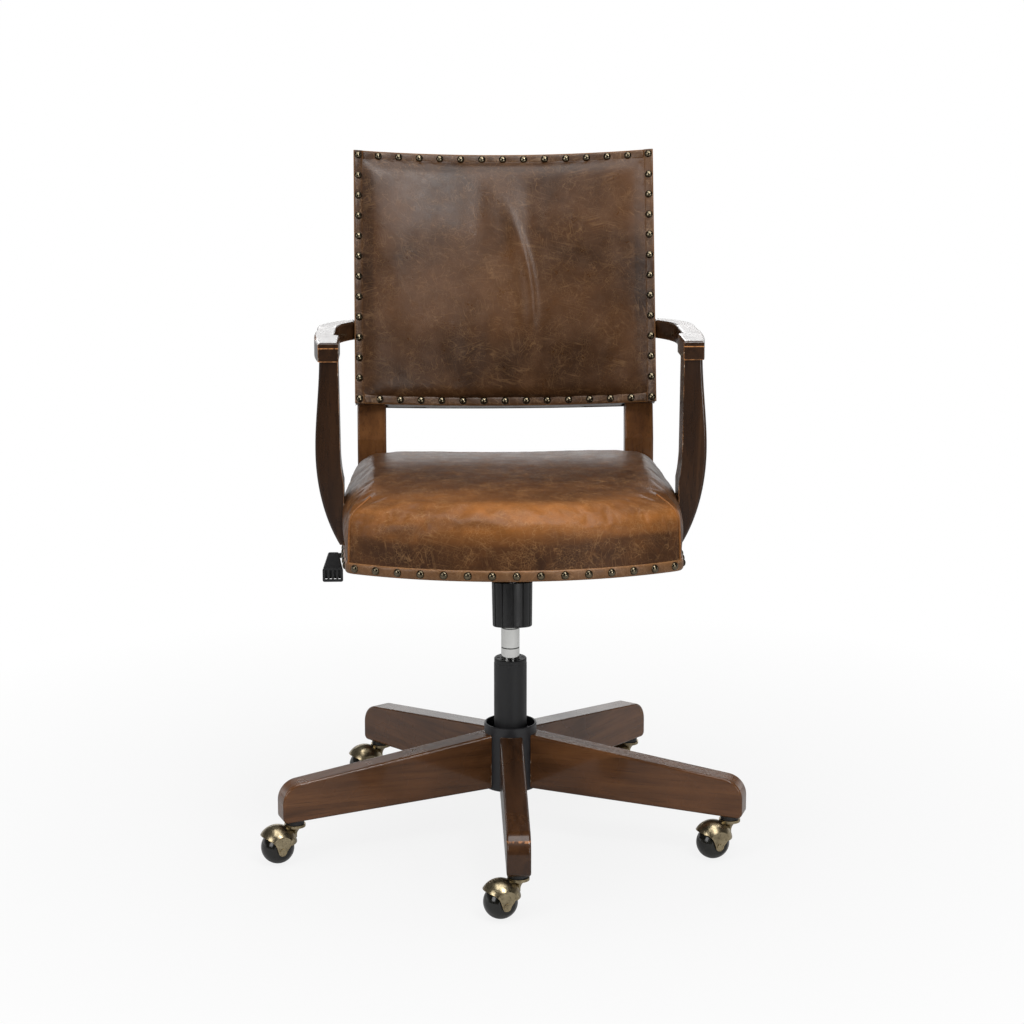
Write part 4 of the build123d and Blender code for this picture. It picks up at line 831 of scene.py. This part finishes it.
given = step("NodeGroupInput").outputs
line = step("GeometryNodeMeshToCurve", {"Mesh": given["Line"]}).outputs["Curve"]
spaced = step("GeometryNodeResampleCurve", {"Curve": line, "Length": given["Spacing"]},
              mode="LENGTH").outputs["Curve"]
strip = step("GeometryNodeObjectInfo", {"Object": given["Strip"]}).outputs["Geometry"]
nearest = step("GeometryNodeProximity", {"Geometry": strip}, target_element="FACES").outputs["Position"]
facing = step("GeometryNodeSampleNearestSurface",
              {"Mesh": strip, "Value": step("GeometryNodeInputNormal").outputs["Normal"]},
              data_type="FLOAT_VECTOR").outputs["Value"]
upright = step("FunctionNodeAlignRotationToVector", {"Vector": facing}, axis="Z").outputs["Rotation"]
less = step("ShaderNodeMath", {0: given["Askew"], 1: -1.0}, operation="MULTIPLY").outputs["Value"]
tilt_low = step("ShaderNodeCombineXYZ", {"X": less, "Y": less, "Z": less}).outputs["Vector"]
more = given["Askew"]
tilt_high = step("ShaderNodeCombineXYZ", {"X": more, "Y": more, "Z": more}).outputs["Vector"]
chance = step("FunctionNodeRandomValue", {"Min": tilt_low, "Max": tilt_high, "Seed": given["Seed"]},
              data_type="FLOAT_VECTOR").outputs["Value"]
askew = step("FunctionNodeEulerToRotation", {"Euler": chance}).outputs["Rotation"]
turned = step("FunctionNodeRotateRotation", {"Rotation": upright, "Rotate By": askew},
              rotation_space="LOCAL").outputs["Rotation"]
ball = step("GeometryNodeMeshUVSphere",
            {"Segments": 14, "Rings": 8, "Radius": given["Radius"]}).outputs["Mesh"]
flat = step("ShaderNodeMath", {0: given["Dome"], 1: given["Radius"]}, operation="DIVIDE").outputs["Value"]
squat = step("ShaderNodeCombineXYZ", {"X": 1.0, "Y": 1.0, "Z": flat}).outputs["Vector"]
dome = step("GeometryNodeTransform", {"Geometry": ball, "Scale": squat}).outputs["Geometry"]
spot = step("GeometryNodeInputPosition").outputs["Position"]
height = step("ShaderNodeSeparateXYZ", {"Vector": spot}).outputs["Z"]
share = step("ShaderNodeMath", {0: height, 1: given["Dome"]}, operation="DIVIDE").outputs["Value"]
crowned = step("GeometryNodeStoreNamedAttribute", {"Geometry": dome, "Name": "crown", "Value": share},
               data_type="FLOAT", domain="POINT").outputs["Geometry"]
seated = step("GeometryNodeSetPosition", {"Geometry": spaced, "Position": nearest}).outputs["Geometry"]
driven = step("GeometryNodeInstanceOnPoints",
              {"Points": seated, "Instance": crowned, "Rotation": turned}).outputs["Instances"]
real = step("GeometryNodeRealizeInstances", {"Geometry": driven}).outputs["Geometry"]
smooth = step("GeometryNodeSetShadeSmooth", {"Geometry": real}).outputs["Geometry"]
brassed = step("GeometryNodeSetMaterial", {"Geometry": smooth, "Material": nail_finish}).outputs["Geometry"]
step("NodeGroupOutput", {"Nails": brassed})


def drive_nails(name, lines, strip, spacing, seed):
    """Nails along lines of points on a strip, as one plain mesh."""
    mesh = bpy.data.meshes.new(name)
    points, edges = [], []
    for line in lines:
        edges += [(len(points) + count, len(points) + count + 1) for count in range(len(line) - 1)]
        points += line
    mesh.from_pydata(points, edges, [])
    nails = new_piece(name, mesh)
    modifier = nails.modifiers.new("Nail row", "NODES")
    modifier.node_group = nail_row
    modifier[nail_inputs["Strip"]] = strip
    modifier[nail_inputs["Spacing"]] = spacing * 0.99
    modifier[nail_inputs["Seed"]] = seed
    bake_mesh(nails)
    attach(nails, "seat")


def bow_row(up):
    """The line of a row of nails across the back."""
    turns = [row_reach * (count / 24 - 1) / bow_circle for count in range(49)]
    return [panel_point(bow_circle * math.sin(turn), up, 0.002) for turn in turns]


def side_row(across):
    """The line of a row of nails up the back, between the corner nails."""
    return [panel_point(across, row_low + up_gap * (1 + count / 2), 0.002) for count in range(21)]


drive_nails("back_row_nails", [bow_row(row_high), bow_row(row_low)], back_strips, across_gap, 7)
drive_nails("back_side_nails", [side_row(row_half), side_row(-row_half)], back_strips, up_gap, 5)

stile_clear, line_steps = 0.175, 8
hem_rows, last = [], None
for count in range(round(hem_length / hem_gap)):
    point = hem_surface(count * hem_gap, 0, 0.002)
    if on_seat(point).y > 0.18 and abs(point.x) > stile_clear:
        last = None
    elif last is None:
        hem_rows.append([point])
        last = count
    else:
        hem_rows[-1] += [hem_surface((count - 1 + share / line_steps) * hem_gap, 0, 0.002)
                         for share in range(1, line_steps + 1)]
drive_nails("seat_nails", [row for row in hem_rows if len(row) > 1], seat_strip, hem_gap, 11)

# Stiles and arms: shaped walnut, the stiles stained like the legs and the arms darker. The arms are
# rubbed to bare orange wood along the edges of the front blocks, where hands lift the chair. These
# rubbed lines are also a painted highlight of the blocks' rounded edges.
coat(stained_wood("Stile wood", None, (0.05, 0.018, 0.0055), (0.1, 0.039, 0.0115), (0.15, 0.062, 0.02),
                  bare_wood, 0.0), "back_stile_left", "back_stile_right")
arm_tones = ((0.014, 0.0058, 0.0024), (0.032, 0.0132, 0.005), (0.062, 0.027, 0.0105))
# Two lines on each front block: partly rubbed bare wood, partly a painted highlight of the edges.
block_rub_and_glint_lines = ((0.7693, -0.04, 0.001), (0.7495, -0.04, 0.001))
coat(stained_wood("Arm rest wood", 90, *arm_tones, (0.48, 0.21, 0.075), 0.03, block_rub_and_glint_lines),
     "arm_rest_left", "arm_rest_right")
coat(stained_wood("Arm post wood", None, *arm_tones, (0.5, 0.23, 0.09), 0.05, block_rub_and_glint_lines),
     "arm_post_left", "arm_post_right")

# Studio: a plain floor and a room that show white to the camera but dim in front and overhead to
# polished faces, soft lamps above, at the left and right, low down and behind, and the camera where
# the photograph was taken.
floor_mesh = bpy.data.meshes.new("studio_floor")
floor_mesh.from_pydata([(-6, -6, 0), (6, -6, 0), (6, 6, 0), (-6, 6, 0)], [], [(0, 1, 2, 3)])
floor = new_piece("studio_floor", floor_mesh)
floor_finish, shader = new_finish("Studio floor")
shader.inputs["Base Color"].default_value = (0.4, 0.4, 0.4, 1)
shader.inputs["Roughness"].default_value = 0.9
rays = put(floor_finish, "ShaderNodeLightPath").outputs
glossed = sums(floor_finish, "MULTIPLY", rays["Is Glossy Ray"], 0.2)
seen = sums(floor_finish, "MAXIMUM", rays["Is Camera Ray"], glossed)
seen = sums(floor_finish, "MAXIMUM", seen, rays["Is Transmission Ray"])
away = put(floor_finish, "ShaderNodeVectorMath", {0: place(floor_finish)}, operation="LENGTH")
clear = put(floor_finish, "ShaderNodeMapRange", {"Value": away.outputs["Value"], "From Min": 0.4,
                                                 "From Max": 1.3, "To Min": 0.86})
white = put(floor_finish, "ShaderNodeEmission", {"Strength": 1.0})
shown = put(floor_finish, "ShaderNodeMixShader", {
    0: sums(floor_finish, "MULTIPLY", seen, clear.outputs["Result"]),
    1: shader.outputs["BSDF"], 2: white.outputs["Emission"]})
surface = floor_finish.node_tree.nodes["Material Output"].inputs["Surface"]
join(floor_finish, shown.outputs["Shader"], surface)
floor_mesh.materials.append(floor_finish)

world = bpy.data.worlds.new("Studio")
bpy.context.scene.world = world
world.use_nodes = True
backdrop = world.node_tree.nodes["Background"]
backdrop.inputs["Color"].default_value = (1, 1, 1, 1)
rays = put(world, "ShaderNodeLightPath").outputs
outlook = put(world, "ShaderNodeTexCoord").outputs["Generated"]
heading = put(world, "ShaderNodeSeparateXYZ", {"Vector": outlook}).outputs
behind = put(world, "ShaderNodeMapRange", {"Value": heading["Y"], "From Min": -0.25, "From Max": 0.2,
                                           "To Min": 0.05}).outputs["Result"]
above = put(world, "ShaderNodeMapRange", {"Value": heading["Z"], "From Min": 0.09, "From Max": 0.27,
                                          "To Min": 1.0, "To Max": 0.12}).outputs["Result"]
mirrored = sums(world, "MULTIPLY", sums(world, "MULTIPLY", rays["Is Glossy Ray"], behind), above)
seen = sums(world, "MAXIMUM", rays["Is Camera Ray"], rays["Is Transmission Ray"])
soft = sums(world, "MULTIPLY", rays["Is Diffuse Ray"], 0.38)
strength = sums(world, "MAXIMUM", sums(world, "MAXIMUM", seen, mirrored), soft)
join(world, strength, backdrop.inputs["Strength"])


def lamp(name, at, aim, width, height, power):
    """A soft rectangular lamp that looks at a point."""
    light = bpy.data.lights.new(name, "AREA")
    light.shape = "RECTANGLE"
    light.size, light.size_y, light.energy = width, height, power
    holder = bpy.data.objects.new(name, light)
    holder.location = at
    holder.rotation_euler = (Vector(aim) - Vector(at)).to_track_quat("-Z", "Y").to_euler()
    holder.visible_camera = False
    bpy.context.collection.objects.link(holder)


lamp("overhead_softbox", (0.0, -0.3, 3.0), (0, 0, 0.4), 2.2, 2.2, 60)
lamp("left_softbox", (-2.6, -2.2, 1.9), (0, 0, 0.6), 1.4, 2.0, 42)
lamp("right_softbox", (0.92, -1.95, 3.1), (0, 0, 0.8), 0.8, 0.8, 46)
lamp("low_softbox", (1.5, -2.4, 0.9), (0, 0, 0.75), 0.6, 0.9, 15)
lamp("rear_softbox", (0.0, 3.2, 1.12), (0, 0, 0.75), 3.2, 0.3, 10)

camera_data = bpy.data.cameras.new("camera")
camera_data.lens = 103.06
camera_data.sensor_width = 36
camera = bpy.data.objects.new("camera", camera_data)
camera.location = (-0.143, -4.285, 1.538)
camera.rotation_euler = (math.radians(76.52), 0, math.radians(-1.944))
bpy.context.collection.objects.link(camera)
bpy.context.scene.camera = camera
bpy.context.scene.view_settings.view_transform = "Standard"
